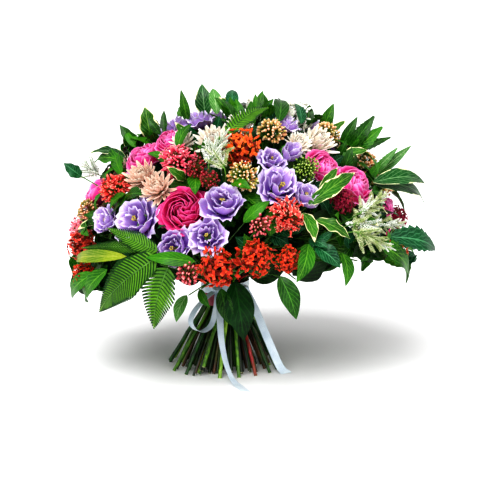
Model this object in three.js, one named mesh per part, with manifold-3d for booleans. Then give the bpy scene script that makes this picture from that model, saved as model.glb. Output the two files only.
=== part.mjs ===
// Hand-tied mixed flower bouquet that stands on its splayed cut stems.
// Millimetres, +Z up, origin in the middle of the bouquet at the level of the cut ends.
import * as THREE from 'three';
import Module from 'manifold-3d';

const wasm = await Module();
wasm.setup();

// Driving dimensions of the head: an egg-shaped dome, flatter below its middle
const HEAD = { x: 22, y: 0, z: 130, across: 214, deep: 190, up: 205, down: 95 };
const HEART = new THREE.Vector3(6, 0, 112);      // the point that everything grows out from

// Driving dimensions of the bound stems
const NECK = { z: 99, height: 35, rings: [0, 7, 13.8, 20.5, 27], places: [1, 6, 12, 18, 20] };
const FOOT = { radius: 75, twist: 12, jitter: 2.5 };
const STEM = { radius: 2.7, sides: 4 };
// No fork lies lower than this over the neck, or nearer than this to a passing stem
const FORK = { low: 117, slope: 0.24, clear: 6, ahead: 7 };
const BAND = { inner: 30.6, thick: 1, low: 84.5, high: 99.5, sides: 18 };
const RIBBON = { inner: 30.6, thick: 0.8, low: 100.5, high: 114, width: 10 };

// Driving dimensions of what grows
const GAP = 0.3;                                  // clearance between neighbouring pieces
const LIFT = { foot: 5, tip: 9, reach: 22 };        // how far a leaf stands off the blooms under it
const BLADE = 0.8;                                // thickness of a leaf or petal
const EYE = THREE.MathUtils.degToRad(12);         // height of eye for the across and up places below

// A place on the head is written as [across, up, size]: how far right of the stems' axis and how far
// above the table it is seen from the front, at the height of eye above, and how wide the bloom is.
const FRONT = [
  { name: 'rose_centre', kind: 'rose', blooms: [[-60, 207, 52]] },
  { name: 'rose_left', kind: 'rose', blooms: [[-107, 280, 45], [-78, 296, 30]] },
  { name: 'rose_right', kind: 'rose', blooms: [[133, 258, 44], [168, 244, 48], [216, 211, 26]] },
  { name: 'rose_far_left', kind: 'rose', blooms: [[-188, 235, 36]] },
  { name: 'lisianthus_left', kind: 'lisianthus', blooms: [[-112, 200, 50], [-155, 190, 30]] },
  { name: 'lisianthus_centre', kind: 'lisianthus', blooms: [[-4, 213, 42], [-27, 190, 38], [-48, 170, 38]] },
  { name: 'lisianthus_right', kind: 'lisianthus',
    blooms: [[58, 235, 44], [100, 224, 30], [58, 263, 30], [88, 271, 28]] },
  { name: 'lisianthus_top_left', kind: 'lisianthus', blooms: [[-69, 317, 38], [-34, 323, 32]] },
  { name: 'lisianthus_top_right', kind: 'lisianthus', blooms: [[82, 317, 30], [113, 321, 26]] },
  { name: 'bride_left', kind: 'bride', blooms: [[-108, 246, 38], [-84, 232, 36]] },
  { name: 'bride_top', kind: 'bride', blooms: [[-24, 298, 42], [-49, 292, 28], [20, 318, 28]] },
  { name: 'bride_right', kind: 'bride', blooms: [[124, 294, 44], [98, 291, 28]] },
  { name: 'bride_pink', kind: 'bride', blooms: [[-65, 262, 40]] },
  { name: 'orange_top', kind: 'florets', blooms: [[26, 266, 42]] },
  { name: 'orange_low', kind: 'florets', blooms: [[-4, 134, 42], [38, 148, 38], [68, 140, 28]] },
  { name: 'orange_left', kind: 'florets',
    blooms: [[-140, 230, 36], [-198, 178, 32], [-184, 154, 34], [-180, 122, 28]] },
  { name: 'buds_cream', kind: 'buds', blooms: [[26, 234, 34]] },
  { name: 'buds_coral', kind: 'buds', blooms: [[66, 196, 38]] },
  { name: 'buds_tan', kind: 'buds', blooms: [[-172, 212, 28]] },
  { name: 'buds_peach', kind: 'buds', blooms: [[195, 280, 32], [210, 250, 32], [148, 316, 28], [180, 306, 28]] },
  { name: 'buds_top', kind: 'buds', blooms: [[58, 300, 32]] },
  { name: 'orange_right', kind: 'florets', blooms: [[150, 210, 26], [228, 192, 24]] },
  { name: 'berries_red', kind: 'berries', blooms: [[-34, 252, 24], [-20, 236, 22]] },
  { name: 'berries_pink', kind: 'berries', blooms: [[50, 172, 24], [-34, 124, 26]] },
  { name: 'berries_orange', kind: 'berries', blooms: [[224, 153, 28]] },
  { name: 'berries_lime', kind: 'berries', blooms: [[103, 252, 30]] },
];

// Heads of small things are built larger than life, so that they still cover the dome
const FULL = { rose: 1.02, lisianthus: 0.98, bride: 1.05, florets: 1.08, buds: 1.05, berries: 1.1 };

// The back, from the right side round to the left: turn is measured from the front towards the
// right, rise from the head's middle, and each spray has its blooms close round its own place.
const BACK = [
  { name: 'back_rose_right', kind: 'rose', turn: 122, rise: 14, sizes: [48, 42] },
  { name: 'back_rose_left', kind: 'rose', turn: 228, rise: 24, sizes: [50, 46, 40] },
  { name: 'back_lisianthus_right', kind: 'lisianthus', turn: 132, rise: 38, sizes: [44, 40, 36] },
  { name: 'back_lisianthus_mid', kind: 'lisianthus', turn: 182, rise: 14, sizes: [46, 42, 38] },
  { name: 'back_lisianthus_top', kind: 'lisianthus', turn: 215, rise: 58, sizes: [44, 38, 36] },
  { name: 'back_bride_mid', kind: 'bride', turn: 172, rise: 42, sizes: [44, 40, 36] },
  { name: 'back_bride_left', kind: 'bride', turn: 252, rise: 30, sizes: [44, 38, 34] },
  { name: 'back_orange_right', kind: 'florets', turn: 152, rise: 14, sizes: [42, 38] },
  { name: 'back_white_top', kind: 'florets', turn: 138, rise: 68, sizes: [42, 38, 36] },
  { name: 'back_orange_left', kind: 'florets', turn: 206, rise: 30, sizes: [42, 36] },
];

// Leaves, fronds and plumes lie over the head from where they come out of it to their tips. Each is
// [across, up, tip across, tip up, width], seen from the front as the blooms are. Those of the back
// are [turn, rise, tip turn, tip rise, width], measured as the back sprays are.
const LEAVES = [
  { name: 'leaves_left_top', edge: 'waved',
    list: [[-99, 300, -104, 336, 24], [-122, 293, -137, 312, 16], [-133, 276, -174, 277, 20],
      [-130, 262, -168, 261, 20], [-188, 248, -206, 268, 16], [-136, 235, -143, 265, 15]] },
  { name: 'leaves_top_left', edge: 'plain',
    list: [[-53, 328, -57, 358, 12], [-26, 326, -30, 365, 22], [-10, 326, -16, 357, 16], [10, 326, 9, 355, 16],
      [-58, 278, -38, 299, 17], [0, 230, 22, 217, 15]] },
  { name: 'leaves_top_right', edge: 'plain',
    list: [[68, 312, 69, 341, 20], [97, 314, 88, 338, 15], [108, 314, 110, 338, 14], [135, 310, 145, 338, 16],
      [160, 300, 169, 325, 14]] },
  { name: 'leaves_lobed_right', edge: 'cut',
    list: [[174, 300, 191, 326, 26], [178, 296, 202, 312, 26], [182, 286, 222, 292, 16], [206, 262, 222, 285, 15]] },
  { name: 'leaves_dark_right', edge: 'plain',
    list: [[214, 244, 251, 273, 13], [190, 235, 260, 235, 24], [184, 228, 263, 205, 28], [168, 281, 188, 243, 14]] },
  { name: 'leaves_variegated', edge: 'waved',
    list: [[103, 205, 156, 240, 24], [110, 224, 127, 244, 15], [87, 194, 96, 155, 23], [114, 186, 148, 160, 21]] },
  { name: 'leaves_cut_right', edge: 'cut', list: [[206, 166, 270, 150, 34], [196, 160, 234, 120, 32]] },
  { name: 'leaves_hanging', edge: 'plain',
    list: [[66, 128, 84, 77, 25], [103, 158, 84, 110, 22], [112, 154, 136, 126, 24], [146, 146, 142, 105, 20]] },
  { name: 'leaves_low_left', edge: 'plain',
    list: [[-118, 152, -190, 146, 16], [-170, 122, -195, 88, 22], [-156, 122, -176, 84, 22],
      [-134, 122, -155, 86, 22], [-34, 136, -91, 139, 17], [-8, 154, 23, 174, 15]] },
  { name: 'back_leaves_right', edge: 'cut', turned: true,
    list: [[112, 4, 108, -20, 32], [130, 4, 134, -22, 32], [106, 30, 94, 16, 26], [150, 2, 148, -24, 30],
      [148, 52, 132, 42, 26]] },
  { name: 'back_leaves_mid', edge: 'plain', turned: true,
    list: [[172, 2, 170, -22, 30], [190, 2, 194, -22, 30], [166, 28, 156, 16, 24], [192, 44, 186, 28, 26],
      [200, 74, 176, 62, 26]] },
  { name: 'back_leaves_left', edge: 'waved', turned: true,
    list: [[214, 2, 212, -22, 30], [236, 2, 240, -20, 30], [252, 6, 256, -16, 28], [224, 38, 232, 24, 26],
      [258, 40, 266, 52, 24]] },
];

// The leaves that hang over the tie, from a stem end of their own: [x, y, z, tip x, y, z, width]
const OVER_TIE = { name: 'leaves_over_tie', edge: 'plain', fork: [6, -46, 138],
  list: [[12, -62, 126, 24, -70, 50, 36], [-4, -68, 118, 9, -72, 70, 20], [-22, -76, 118, -8, -84, 96, 12],
    [-46, -84, 112, -60, -88, 78, 16]] };

// Fern fronds are cut to the rib into pairs of leaflets, a row to each frond or to two of them
const FRONDS = [
  { name: 'fern_low_left', pairs: 10, list: [[-78, 140, -147, 74, 52]] },
  { name: 'fern_low_mid', pairs: 9, list: [[-74, 130, -88, 58, 48]] },
  { name: 'fern_left', pairs: 8, list: [[-82, 138, -140, 182, 30], [-85, 143, -175, 158, 22]] },
  { name: 'fern_top', pairs: 8, list: [[4, 281, 56, 315, 32]] },
  { name: 'back_ferns', pairs: 9, turned: true, list: [[142, 16, 152, -16, 44], [244, 20, 248, -14, 42]] },
];

// Feathery plumes of astilbe, which stand proud of the blooms by this much
const PLUMES = [
  { name: 'astilbe_right', proud: 12,
    list: [[146, 176, 230, 178, 26], [154, 188, 198, 218, 22], [150, 168, 200, 146, 24]] },
  { name: 'astilbe_centre', proud: 12, list: [[-17, 246, 4, 284, 26], [-10, 240, -24, 282, 20]] },
  { name: 'astilbe_left', proud: 4, list: [[-156, 241, -188, 262, 22]] },
];

// Colours of the real pieces
const COLOUR = {
  stems: 0x5b7a2e, band: 0x7c1230, ribbon: 0xa9b4c9,
  rose: 0xd81e5b, lisianthus: 0x9a86d8, bride: 0xeed3c2, florets: 0xe8502a, buds: 0xdf8f6e,
  berries: 0xc4443c, plume: 0xe6e6dc, leaves: 0x2f6b22, frond: 0x5c9a2c,
};

const v = (x, y, z) => new THREE.Vector3(x, y, z);
const turnOf = (degrees) => THREE.MathUtils.degToRad(degrees);

// A seeded draw between two values
function drawer(seed) {
  let state = seed;
  return (low, high) => {
    state = (state * 1664525 + 1013904223) % 4294967296;
    return low + ((high - low) * state) / 4294967296;
  };
}

// How far a point lies from the head's middle, as a share of the way to the head's surface
function share(point) {
  const rise = point.z > HEAD.z ? HEAD.up : HEAD.down;
  return Math.hypot(
    (point.x - HEAD.x) / HEAD.across, (point.y - HEAD.y) / HEAD.deep, (point.z - HEAD.z) / rise);
}

// The point moved to lie on the head's surface
function settleOn(point) {
  const middle = v(HEAD.x, HEAD.y, HEAD.z);
  return point.clone().sub(middle).divideScalar(share(point)).add(middle);
}

// The point of the head's front that is seen at this place across and up
function seenAt(across, up) {
  const c = Math.cos(EYE);
  const s = Math.sin(EYE);
  const x = Math.max(-0.98, Math.min(0.98, (across - HEAD.x) / HEAD.across));
  let found = null;
  for (const rise of [HEAD.up, HEAD.down]) {
    const w = up / c - HEAD.z;
    const a = 1 / HEAD.deep ** 2 + (s / c / rise) ** 2;
    const b = (-2 * w * s) / c / rise ** 2;
    const q = (w / rise) ** 2 - (1 - x * x);
    const inside = b * b - 4 * a * q;
    const y = (-b - Math.sqrt(Math.max(0, inside))) / (2 * a);
    found = settleOn(v(HEAD.x + x * HEAD.across, y, (up - y * s) / c));
    if (found.z >= HEAD.z) break;
  }
  return found;
}

// The point of the head at this turn and rise
function facing(turn, rise) {
  const t = turnOf(turn);
  const r = turnOf(rise);
  const flat = Math.cos(r);
  return settleOn(v(
    HEAD.x + HEAD.across * flat * Math.sin(t), -HEAD.deep * flat * Math.cos(t),
    HEAD.z + (rise > 0 ? HEAD.up : HEAD.down) * Math.sin(r)));
}

// Solids from points and triangles
function solid(points, triangles) {
  return new wasm.Manifold(new wasm.Mesh({
    numProp: 3,
    vertProperties: new Float32Array(points.flatMap((p) => [p.x, p.y, p.z])),
    triVerts: new Uint32Array(triangles.flat()),
  }));
}

// Two directions square to an axis and to each other
function across(axis) {
  const help = Math.abs(axis.z) < 0.9 ? v(0, 0, 1) : v(1, 0, 0);
  const side = new THREE.Vector3().crossVectors(help, axis).normalize();
  return [side, new THREE.Vector3().crossVectors(axis, side).normalize()];
}

// A closed skin through rings of points, with a pole at each end
function skin(rings, low, high) {
  const count = rings[0].length;
  const points = rings.flat();
  const bottom = points.push(low) - 1;
  const top = points.push(high) - 1;
  const triangles = [];
  for (let i = 0; i < count; i += 1) {
    const j = (i + 1) % count;
    triangles.push([bottom, j, i]);
    for (let k = 0; k + 1 < rings.length; k += 1) {
      const a = k * count;
      const b = a + count;
      if ((i + k) % 2) triangles.push([a + i, a + j, b + i], [a + j, b + j, b + i]);
      else triangles.push([a + i, a + j, b + j], [a + i, b + j, b + i]);
    }
    const last = (rings.length - 1) * count;
    triangles.push([top, last + i, last + j]);
  }
  return solid(points, triangles);
}

// A straight stalk between two points, with a flat polygon at each end
function stalk(from, to, r0, r1, sides) {
  const [side, other] = across(to.clone().sub(from).normalize());
  const ring = (centre, radius) => Array.from({ length: sides }, (_, i) => {
    const a = (2 * Math.PI * i) / sides;
    return centre.clone().addScaledVector(side, radius * Math.cos(a)).addScaledVector(other, radius * Math.sin(a));
  });
  const points = [...ring(from, r0), ...ring(to, r1)];
  const triangles = [];
  for (let i = 0; i < sides; i += 1) {
    const j = (i + 1) % sides;
    triangles.push([i, j, sides + j], [i, sides + j, sides + i]);
  }
  for (let i = 1; i + 1 < sides; i += 1) {
    triangles.push([0, i + 1, i], [sides, sides + i, sides + i + 1]);
  }
  return solid(points, triangles);
}

// A stem with level cut ends
function post(foot, top, radius, sides, spin) {
  const ring = (centre) => Array.from({ length: sides }, (_, i) => {
    const a = spin + (2 * Math.PI * i) / sides;
    return v(centre.x + radius * Math.cos(a), centre.y + radius * Math.sin(a), centre.z);
  });
  const points = [...ring(foot), ...ring(top)];
  const triangles = [];
  for (let i = 0; i < sides; i += 1) {
    const j = (i + 1) % sides;
    triangles.push([i, j, sides + j], [i, sides + j, sides + i]);
  }
  for (let i = 1; i + 1 < sides; i += 1) {
    triangles.push([0, i + 1, i], [sides, sides + i, sides + i + 1]);
  }
  return solid(points, triangles);
}

// A body pointed at both ends, widest at a share of its length: a bead, a bud or a berry
function bead(from, to, radius, sides, widest) {
  const [side, other] = across(to.clone().sub(from).normalize());
  const middle = from.clone().lerp(to, widest);
  const ring = Array.from({ length: sides }, (_, i) => {
    const a = (2 * Math.PI * i) / sides;
    return middle.clone().addScaledVector(side, radius * Math.cos(a)).addScaledVector(other, radius * Math.sin(a));
  });
  return skin([ring], from, to);
}

// Rings of petals: lobes with a broad crest and a notch between, so many points to each lobe.
// A ring is [radius, height, notch radius, notch height, shift by a share of a lobe].
function petalRings(size, lobes, crest, table) {
  const count = lobes * (crest + 1);
  return table.map(([r, h, nr, nh, shift]) => Array.from({ length: count }, (_, i) => {
    const notch = i % (crest + 1) === crest;
    const a = (2 * Math.PI * (i + shift * (crest + 1))) / count;
    const radius = size * (notch ? nr : r);
    return v(radius * Math.cos(a), radius * Math.sin(a), size * (notch ? nh : h));
  }));
}

// Rings of knobs: every other point stands out, and the next ring's stand in the gaps
function knobRings(count, profile) {
  return profile.map(([low, lowHeight, high, highHeight], k) => Array.from({ length: 2 * count }, (_, i) => {
    const a = (Math.PI * i) / count;
    const out = (i + k) % 2 === 1;
    const radius = out ? high : low;
    return v(radius * Math.cos(a), radius * Math.sin(a), out ? highHeight : lowHeight);
  }));
}

// A dense round head of buds, berries or florets for half its width
function knobHead(r, count, rings, sunk) {
  const middle = 0.95 * r;
  return knobRings(count, Array.from({ length: rings }, (_, k) => {
    const rise = turnOf(-52 + (118 * k) / (rings - 1));
    return [sunk * r * Math.cos(rise), middle + sunk * r * Math.sin(rise),
      r * Math.cos(rise), middle + r * Math.sin(rise)];
  }));
}

// Each kind of bloom as rings on its own Z axis, for half its width, with the height of its eye
const KINDS = {
  rose: (r) => ({ eye: 0.98 * r, rings: petalRings(r, 5, 2, [
    [0.3, 0.16, 0.3, 0.16, 0],
    [1, 0.74, 0.78, 0.52, 0],
    [0.76, 0.62, 0.66, 0.52, 0.25],
    [0.76, 1.02, 0.62, 0.8, 0.5],
    [0.46, 1.14, 0.36, 0.94, 0.8],
  ]) }),
  lisianthus: (r) => ({ eye: 0.66 * r, rings: petalRings(r, 5, 1, [
    [0.3, 0.24, 0.3, 0.24, 0],
    [1, 0.98, 0.66, 0.8, 0],
    [0.54, 0.72, 0.5, 0.7, 0.25],
    [0.64, 1.12, 0.42, 0.92, 0.5],
  ]) }),
  bride: (r) => ({ eye: 1.2 * r, rings: petalRings(r, 5, 1, [
    [0.3, 0.16, 0.3, 0.16, 0],
    [1, 0.62, 0.5, 0.36, 0],
    [0.56, 0.58, 0.52, 0.54, 0.25],
    [0.8, 1, 0.42, 0.7, 0.5],
  ]) }),
  florets: (r) => ({ eye: 1.7 * r, rings: knobHead(r, 5, 3, 0.66) }),
  buds: (r) => ({ eye: 1.7 * r, rings: knobHead(r, 5, 4, 0.62) }),
  berries: (r) => ({ eye: 1.75 * r, rings: knobHead(r, 4, 4, 0.74) }),
};

// A bloom in its place: its rings turned to face along a line, its stalk drawn to a point at the root
function bloom(kind, size, foot, along, spin, root) {
  const { eye, rings } = KINDS[kind](size / 2);
  const [side, other] = across(along);
  const c = Math.cos(spin);
  const s = Math.sin(spin);
  const put = (p) => foot.clone().addScaledVector(side, p.x * c - p.y * s)
    .addScaledVector(other, p.x * s + p.y * c).addScaledVector(along, p.z);
  return skin(rings.map((ring) => ring.map(put)), root, put(v(0, 0, eye)));
}

// Rows of one spray of blooms, front or back, as points on the head with their sizes
function bloomsOf(row, draw) {
  const full = FULL[row.kind];
  if (row.blooms) return row.blooms.map(([a, up, size]) => ({ spot: seenAt(a, up), size: full * size }));
  const middle = facing(row.turn, row.rise);
  const [side, other] = across(middle.clone().sub(HEART).normalize());
  const start = draw(0, 2 * Math.PI);
  const apart = 29;
  return row.sizes.map((size, i) => {
    const a = start + (2 * Math.PI * i) / row.sizes.length;
    return {
      spot: settleOn(middle.clone().addScaledVector(side, apart * Math.cos(a)).addScaledVector(other, apart * Math.sin(a))),
      size: full * size,
    };
  });
}

// Blooms make room for each other: crowded ones slide apart over the head's surface
function makeRoom(blooms) {
  const home = blooms.map((b) => b.spot.clone());
  const heartOf = (b) => {
    const along = b.spot.clone().sub(HEART).normalize();
    return b.spot.clone().addScaledVector(along, -0.55 * b.size);
  };
  for (let round = 0; round < 80; round += 1) {
    const centres = blooms.map(heartOf);
    for (let i = 0; i < blooms.length; i += 1) {
      for (let j = i + 1; j < blooms.length; j += 1) {
        const apart = centres[i].clone().sub(centres[j]);
        const lack = 0.5 * (blooms[i].size + blooms[j].size) + 1 - apart.length();
        if (lack <= 0) continue;
        apart.setLength(0.5 * lack);
        blooms[i].spot.add(apart);
        blooms[j].spot.sub(apart);
        centres[i].add(apart);
        centres[j].sub(apart);
      }
    }
    blooms.forEach((b, i) => {
      if (round < 60) b.spot.lerp(home[i], 0.04);
      b.spot.copy(settleOn(b.spot));
    });
  }
}

const draw = drawer(2024);
const sprays = [...FRONT, ...BACK].map((row) => ({ ...row, blooms: bloomsOf(row, draw) }));
makeRoom(sprays.flatMap((s) => s.blooms));

// Where a leaf comes out of the head, and its tip, which may reach past the head's outline
function leafEnds(row, [a, b, c, d, width]) {
  const proud = row.proud ?? 0;
  const off = (spot, lift) => spot.clone().addScaledVector(spot.clone().sub(HEART).normalize(), lift + proud);
  if (row.turned) {
    return { foot: off(facing(a, b), LIFT.foot), tip: off(facing(c, d), d < 0 ? LIFT.reach : LIFT.tip), width };
  }
  const edge = seenAt(c, d);
  const tip = off(edge, LIFT.tip);
  const outX = c - edge.x;
  const outZ = (d - edge.y * Math.sin(EYE)) / Math.cos(EYE) - edge.z;
  if (Math.hypot(outX, outZ) > 1) tip.copy(edge).add(v(outX, 0, outZ));
  return { foot: off(seenAt(a, b), LIFT.foot), tip, width };
}
for (const row of [...LEAVES, ...FRONDS, ...PLUMES]) row.blades = row.list.map((item) => leafEnds(row, item));
OVER_TIE.blades = OVER_TIE.list.map(([x, y, z, tx, ty, tz, width]) => (
  { foot: v(x, y, z), tip: v(tx, ty, tz), width }));

// The fork of each spray or leafy stem, where its own stem ends
const meanOf = (points) => points.reduce((sum, p) => sum.add(p), v(0, 0, 0)).divideScalar(points.length);
function forkAt(points, depth) {
  const fork = HEART.clone().lerp(meanOf(points), depth);
  fork.z = Math.max(fork.z, FORK.low + FORK.slope * Math.hypot(fork.x, fork.y));
  return fork;
}
const growing = [
  ...sprays.map((s) => ({ ...s, type: 'spray', fork: forkAt(s.blooms.map((b) => b.spot), 0.52) })),
  ...PLUMES.map((s) => ({ ...s, type: 'plume', fork: forkAt(s.blades.map((b) => b.foot), 0.42) })),
  ...FRONDS.map((s) => ({ ...s, type: 'frond', fork: forkAt(s.blades.map((b) => b.foot), 0.34) })),
  ...LEAVES.map((s) => ({ ...s, type: 'leaves', fork: forkAt(s.blades.map((b) => b.foot), 0.34) })),
  { ...OVER_TIE, type: 'leaves', fork: v(...OVER_TIE.fork) },
];

// Each fork gets a place in the neck: the upright ones in the middle, the level ones outside
function giveNeckPlaces() {
  const rows = growing.map((g) => {
    const out = g.fork.clone().sub(HEART);
    return { g, lean: out.angleTo(v(0, 0, 1)), turn: Math.atan2(out.y, out.x) };
  }).sort((a, b) => a.lean - b.lean);
  let first = 0;
  NECK.rings.forEach((radius, ringIndex) => {
    const ring = rows.slice(first, first + NECK.places[ringIndex]).sort((a, b) => a.turn - b.turn);
    first += NECK.places[ringIndex];
    const step = (2 * Math.PI) / ring.length;
    const slip = ring.reduce((sum, row, k) => sum + row.turn - k * step, 0) / ring.length;
    ring.forEach((row, k) => {
      row.g.neck = { radius, turn: k * step + slip };
    });
  });
}
giveNeckPlaces();

const neckPoint = ({ radius, turn }, z, spread, twist) => v(
  radius * spread * Math.cos(turn + twist), radius * spread * Math.sin(turn + twist), z);
const topOf = (g) => neckPoint(g.neck, NECK.z + NECK.height / 2 - 2, 0.92, 0);

// Forks stand clear of the stems that pass them on the way to higher sprays
function clearForks() {
  for (let round = 0; round < 30; round += 1) {
    for (const g of growing) {
      for (const other of growing) {
        if (g === other) continue;
        const passing = new THREE.Line3(topOf(other), other.fork);
        const beyond = g.fork.clone().lerp(topOf(g), -FORK.ahead / g.fork.distanceTo(topOf(g)));
        for (const point of [g.fork, beyond]) {
          const away = point.clone().sub(passing.closestPointToPoint(point, true, v(0, 0, 0)));
          if (away.length() < FORK.clear) g.fork.add(away.setLength(0.5 * (FORK.clear - away.length()) + 0.1));
        }
      }
    }
  }
}
clearForks();

// Pieces of the finished model, by name
const finished = [];
const near = (a, b) => {
  const p = a.boundingBox();
  const q = b.boundingBox();
  return [0, 1, 2].every((k) => p.min[k] - GAP <= q.max[k] && q.min[k] - GAP <= p.max[k]);
};
const clear = (shape) => finished.every((f) => (
  !near(shape, f.shape) || shape.minGap(f.shape, 2 * GAP) >= GAP));

const finish = (name, shape, colour, roughness) => finished.push({ name, shape, colour, roughness });

// Stems: each one from its cut end through the neck to the fork of its spray
function makeStems() {
  const jitter = drawer(77);
  const low = NECK.z - NECK.height / 2;
  const high = NECK.z + NECK.height / 2;
  const rim = NECK.rings.at(-1) + STEM.radius;
  const ring = (z) => Array.from({ length: 16 }, (_, i) => (
    v(rim * Math.cos((Math.PI * i) / 8), rim * Math.sin((Math.PI * i) / 8), z)));
  const parts = [skin([ring(low), ring(high)], v(0, 0, low), v(0, 0, high))];
  const spread = FOOT.radius / NECK.rings.at(-1);
  growing.forEach((g, i) => {
    const outer = g.neck.radius === NECK.rings.at(-1);
    const raised = outer && i % 6 === 5 ? jitter(8, 14) : 0;
    const foot = neckPoint(g.neck, raised, spread, -turnOf(FOOT.twist));
    foot.x += jitter(-FOOT.jitter, FOOT.jitter);
    foot.y += jitter(-FOOT.jitter, FOOT.jitter);
    const radius = STEM.radius * jitter(0.82, 1.06);
    parts.push(post(foot, neckPoint(g.neck, low + 1, 1, 0), radius, STEM.sides, jitter(0, 1)));
    const top = topOf(g);
    g.way = g.fork.clone().sub(top).normalize();
    parts.push(stalk(top, g.fork.clone().addScaledVector(g.way, -GAP - 0.05), 2.1, 1.8, 3));
  });
  return wasm.Manifold.union(parts);
}

// A band round the neck
function bandAround(inner, outer, low, high) {
  const count = BAND.sides;
  const circle = (radius, z) => Array.from({ length: count }, (_, i) => (
    v(radius * Math.cos((2 * Math.PI * i) / count), radius * Math.sin((2 * Math.PI * i) / count), z)));
  const points = [...circle(inner, low), ...circle(outer, low), ...circle(outer, high), ...circle(inner, high)];
  const triangles = [];
  for (let k = 0; k < 4; k += 1) {
    for (let i = 0; i < count; i += 1) {
      const j = (i + 1) % count;
      const a = k * count;
      const b = ((k + 1) % 4) * count;
      triangles.push([a + i, a + j, b + i], [a + j, b + j, b + i]);
    }
  }
  return solid(points, triangles);
}

// A flat strip of ribbon along a route; its width lies along the given direction, or else level
function strip(route, wideway) {
  const points = [];
  route.forEach((p, i) => {
    const ahead = route[Math.min(i + 1, route.length - 1)];
    const behind = route[Math.max(i - 1, 0)];
    const along = ahead.clone().sub(behind).normalize();
    const wide = wideway ? wideway.clone() : new THREE.Vector3().crossVectors(along, v(0, 0, 1));
    wide.addScaledVector(along, -wide.dot(along)).normalize();
    const face = new THREE.Vector3().crossVectors(wide, along).normalize();
    for (const [w, t] of [[-1, -1], [1, -1], [1, 1], [-1, 1]]) {
      points.push(p.clone().addScaledVector(wide, (w * RIBBON.width) / 2)
        .addScaledVector(face, (t * RIBBON.thick) / 2));
    }
  });
  const triangles = [];
  for (let i = 0; i + 1 < route.length; i += 1) {
    const a = 4 * i;
    for (let k = 0; k < 4; k += 1) {
      const m = (k + 1) % 4;
      triangles.push([a + k, a + m, a + 4 + m], [a + k, a + 4 + m, a + 4 + k]);
    }
  }
  const end = 4 * (route.length - 1);
  triangles.push([0, 2, 1], [0, 3, 2], [end, end + 1, end + 2], [end, end + 2, end + 3]);
  const made = solid(points, triangles);
  return made.volume() < 0 ? solid(points, triangles.map(([a, b, c]) => [a, c, b])) : made;
}

// The ribbon: a wrap round the neck, a knot, a hanging loop and two tails that end on the table
const LOOP = [[-10, -33, 108], [-22, -42, 98], [-35, -48, 84], [-42, -52, 70], [-36, -54, 61],
  [-25, -53, 63], [-17, -48, 78], [-9, -34, 103]];
const FRONT_TAIL = [[-9, -33, 105], [-9, -46, 92], [-12, -60, 72], [-13, -72, 48], [-7, -86, 22],
  [3, -101, 5], [11, -118, 0.8], [20, -136, 0.6]];
const RIGHT_TAIL = [[26, -23.5, 108], [32, -27, 99], [41, -33, 80], [52, -39, 54], [64, -43, 28],
  [76, -47, 7], [86, -51, 0.7]];
function makeRibbon() {
  const route = (list) => list.map((p) => v(...p));
  return wasm.Manifold.union([
    bandAround(RIBBON.inner, RIBBON.inner + RIBBON.thick, RIBBON.low, RIBBON.high),
    bead(v(-17, -31.4, 109), v(-4, -35.8, 104), 5, 5, 0.5),
    bead(v(23.5, -26, 109), v(29.5, -21, 106), 4.8, 5, 0.5),
    strip(route(LOOP), v(1, -0.35, 0)),
    strip(route(FRONT_TAIL)),
    strip(route(RIGHT_TAIL)),
  ]);
}

// A peg on the stem's end, which all the stalks of a spray or leafy stem grow from
const pegOn = (g, length) => stalk(g.fork, g.fork.clone().addScaledVector(g.way, length), 2.1, 1.7, 3);

// A spray: the blooms, each on a stalk from the fork
function makeSpray(g) {
  const spin = drawer(Math.round(Math.abs(g.fork.x * 7 + g.fork.y * 13 + g.fork.z)));
  const root = g.fork.clone();
  const parts = [];
  if (g.blooms.length > 1) {
    parts.push(pegOn(g, 6));
    root.addScaledVector(g.way, 2);
  }
  for (const { spot, size } of g.blooms) {
    const along = spot.clone().sub(HEART).normalize();
    const foot = spot.clone().addScaledVector(along, -0.56 * size);
    parts.push(bloom(g.kind, size, foot, along, spin(0, 6), root.clone()));
    root.addScaledVector(g.way, 0.5);
  }
  return wasm.Manifold.union(parts);
}

// A feathery plume on a stalk: a slim core with points standing out and up all round it
function plume(start, foot, tip, width) {
  const along = tip.clone().sub(foot);
  const length = along.length();
  along.normalize();
  const [side, other] = across(along);
  const steps = 6;
  const rings = knobRings(3, Array.from({ length: steps }, (_, k) => {
    const t = k / steps;
    const reach = (width / 2) * Math.sin(Math.PI * (0.3 + 0.6 * t));
    return [1.8, length * t, reach, length * t + 0.6 * reach];
  }));
  const put = (p) => foot.clone().addScaledVector(side, p.x).addScaledVector(other, p.y).addScaledVector(along, p.z);
  return wasm.Manifold.union([
    skin(rings.map((ring) => ring.map(put)), put(v(0, 0, -6)), tip),
    stalk(start, put(v(0, 0, 3)), 1, 1, 3),
  ]);
}

// Ways to bend a blade clear of what is already there, the straight one first
const BENDS = [[0, 0], [3, 0], [-3, 0], [0, 3], [0, -3], [6, 0], [-6, 0], [0, 6], [0, -6], [9, 0], [-9, 0],
  [0, 9], [0, -9], [12, 0], [-12, 0], [0, 12], [0, -12], [10, 10], [-10, 10], [10, -10], [-10, -10], [18, 0],
  [-18, 0], [0, 18], [0, -18], [24, 0], [-24, 0]];
const LENGTHS = [1, 0.88, 0.76, 0.64];

// The tip swung round the heart by two small angles
function bent(tip, [yaw, pitch]) {
  const out = tip.clone().sub(HEART);
  const [side, other] = across(out.clone().normalize());
  const reach = out.length();
  return out.addScaledVector(side, reach * Math.tan(turnOf(yaw)))
    .addScaledVector(other, reach * Math.tan(turnOf(pitch))).setLength(reach).add(HEART);
}

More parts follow.
